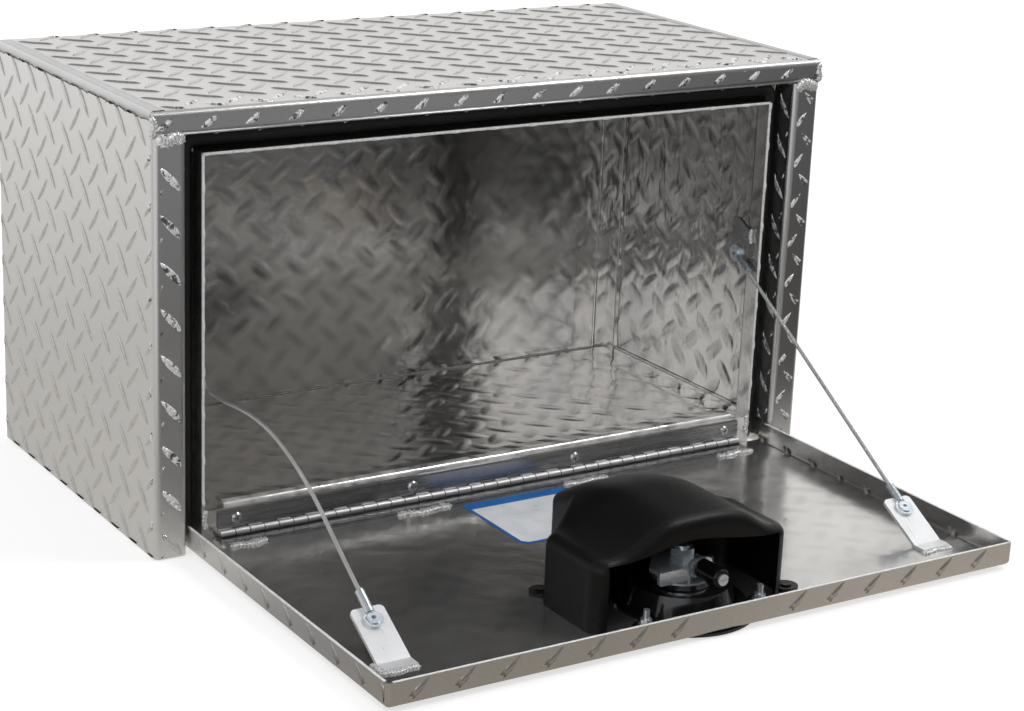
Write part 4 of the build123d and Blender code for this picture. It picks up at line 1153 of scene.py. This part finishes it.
def make_ropes(material):
    """The slack left stay and the taut right stay."""
    route = [Vector((x, FRONT - out, z)) for x, out, z in LEFT_ROUTE]
    start = barrel_end(Vector((-ANCHOR_X, ANCHOR_Y, ANCHOR_Z)), route[0])
    end = barrel_end(door_eye(-TAB_X), route[-1])
    wire_rope("left_wire_rope", "left_cable", [start, *route, end], material)
    top, low = Vector((ANCHOR_X, ANCHOR_Y, ANCHOR_Z)), door_eye(TAB_X)
    start, end = barrel_end(top, low), barrel_end(low, top)
    middle = [start.lerp(end, share) for share in (0.33, 0.66)]
    wire_rope("right_wire_rope", "right_cable", [start, *middle, end], material)


# Label

def make_label(material):
    """A thin sticker on the door, with two corners cut."""
    x0, x1, y0, y1 = LABEL_BOX
    outline = [(x0 + LABEL_CUT, y0), (x1, y0), (x1, y1 - LABEL_TOP_CUT), (x1 - LABEL_TOP_CUT, y1), (x0, y1),
               (x0, y0 + LABEL_CUT)]
    low, high = DOOR_Z1 + 0.05, DOOR_Z1 + 0.3
    vertices = [(x, y, z) for z in (low, high) for x, y in outline]
    n = len(outline)
    faces = [tuple(range(n, 2 * n)), tuple(reversed(range(n)))]
    faces += [(k, (k + 1) % n, n + (k + 1) % n, n + k) for k in range(n)]
    label = mesh("door_label", vertices, faces, material, "door", smooth=False)


def dress(materials):
    """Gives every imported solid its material."""
    for material, names in materials:
        for name in names:
            for slot in NODES[name].material_slots:
                slot.material = material


bpy.context.scene.view_settings.view_transform = "Standard"
make_camera()
make_world()
make_lights()
make_floor()

steel = metal("rope_steel", (0.66, 0.66, 0.655), 0.32, bare=0.8)
seal_rubber = rubber()
dress([
    (case_tread(), ["top_panel", "left_side_panel", "right_side_panel", "back_panel", "floor_panel"]),
    (door_tread(), ["door_pan"]),
    (hinge_steel(), ["hinge_case_leaf", "hinge_door_leaf", "hinge_pin"]),
    (metal("screw_stainless", (0.66, 0.66, 0.66), 0.26, grain_scale=600), ["hinge_screws"]),
    (metal("anchor_steel", (0.46, 0.47, 0.49), 0.26, grain_scale=600, bare=0.92),
     ["left_cable_anchor", "right_cable_anchor"]),
    (metal("satin_strap", (0.92, 0.93, 0.94), 0.30, grain_scale=600, stretch=(1, 0.1, 0.1), bare=0.42),
     ["left_door_tab", "right_door_tab"]),
    (zinc_plate(), ["cable_anchor_rivets", "door_tab_rivets", "left_cable_case_end", "right_cable_case_end",
                    "left_cable_door_end", "right_cable_door_end", "latch_studs", "latch_nuts", "latch_shaft",
                    "cam_washer", "cam_bracket", "cam_nut", "roller_pin", "handle_pivot"]),
    (steel, ["left_cable", "right_cable"]),
    (black_paint(), ["latch_bowl", "clamp_ring"]),
    (black_plastic("guard_plastic", 800, 0.8, 0.32), ["latch_guard", "guard_rivets"]),
    (black_plastic("roller_plastic", 500, 0.06, 0.20), ["cam_roller"]),
    (metal("handle_chrome", (0.85, 0.85, 0.86), 0.10, grain=0.02), ["t_handle", "lock_cylinder"]),
    (seal_rubber, ["door_seal"]),
])
make_ropes(steel)
make_seal(seal_rubber)
make_lugs(lug_polish())
make_welds(weld_metal())
# Painted shade: one dark tone for the knuckle gaps, the screw recesses and the line under each ground strip.
painted_shade = crevice_painted_shade()
ground_metal = metal("ground_strip", (0.74, 0.75, 0.765), 0.36, 700, grain=0.2, stretch=(1, 0.08, 1))
make_strips(ground_metal, painted_shade)
edge_metal = cut_edge()
make_lip_edges(edge_metal)
make_inner_edges(edge_metal)
make_rim_edges(edge_metal)
make_hinge_marks(painted_shade)
make_label(label_paper())
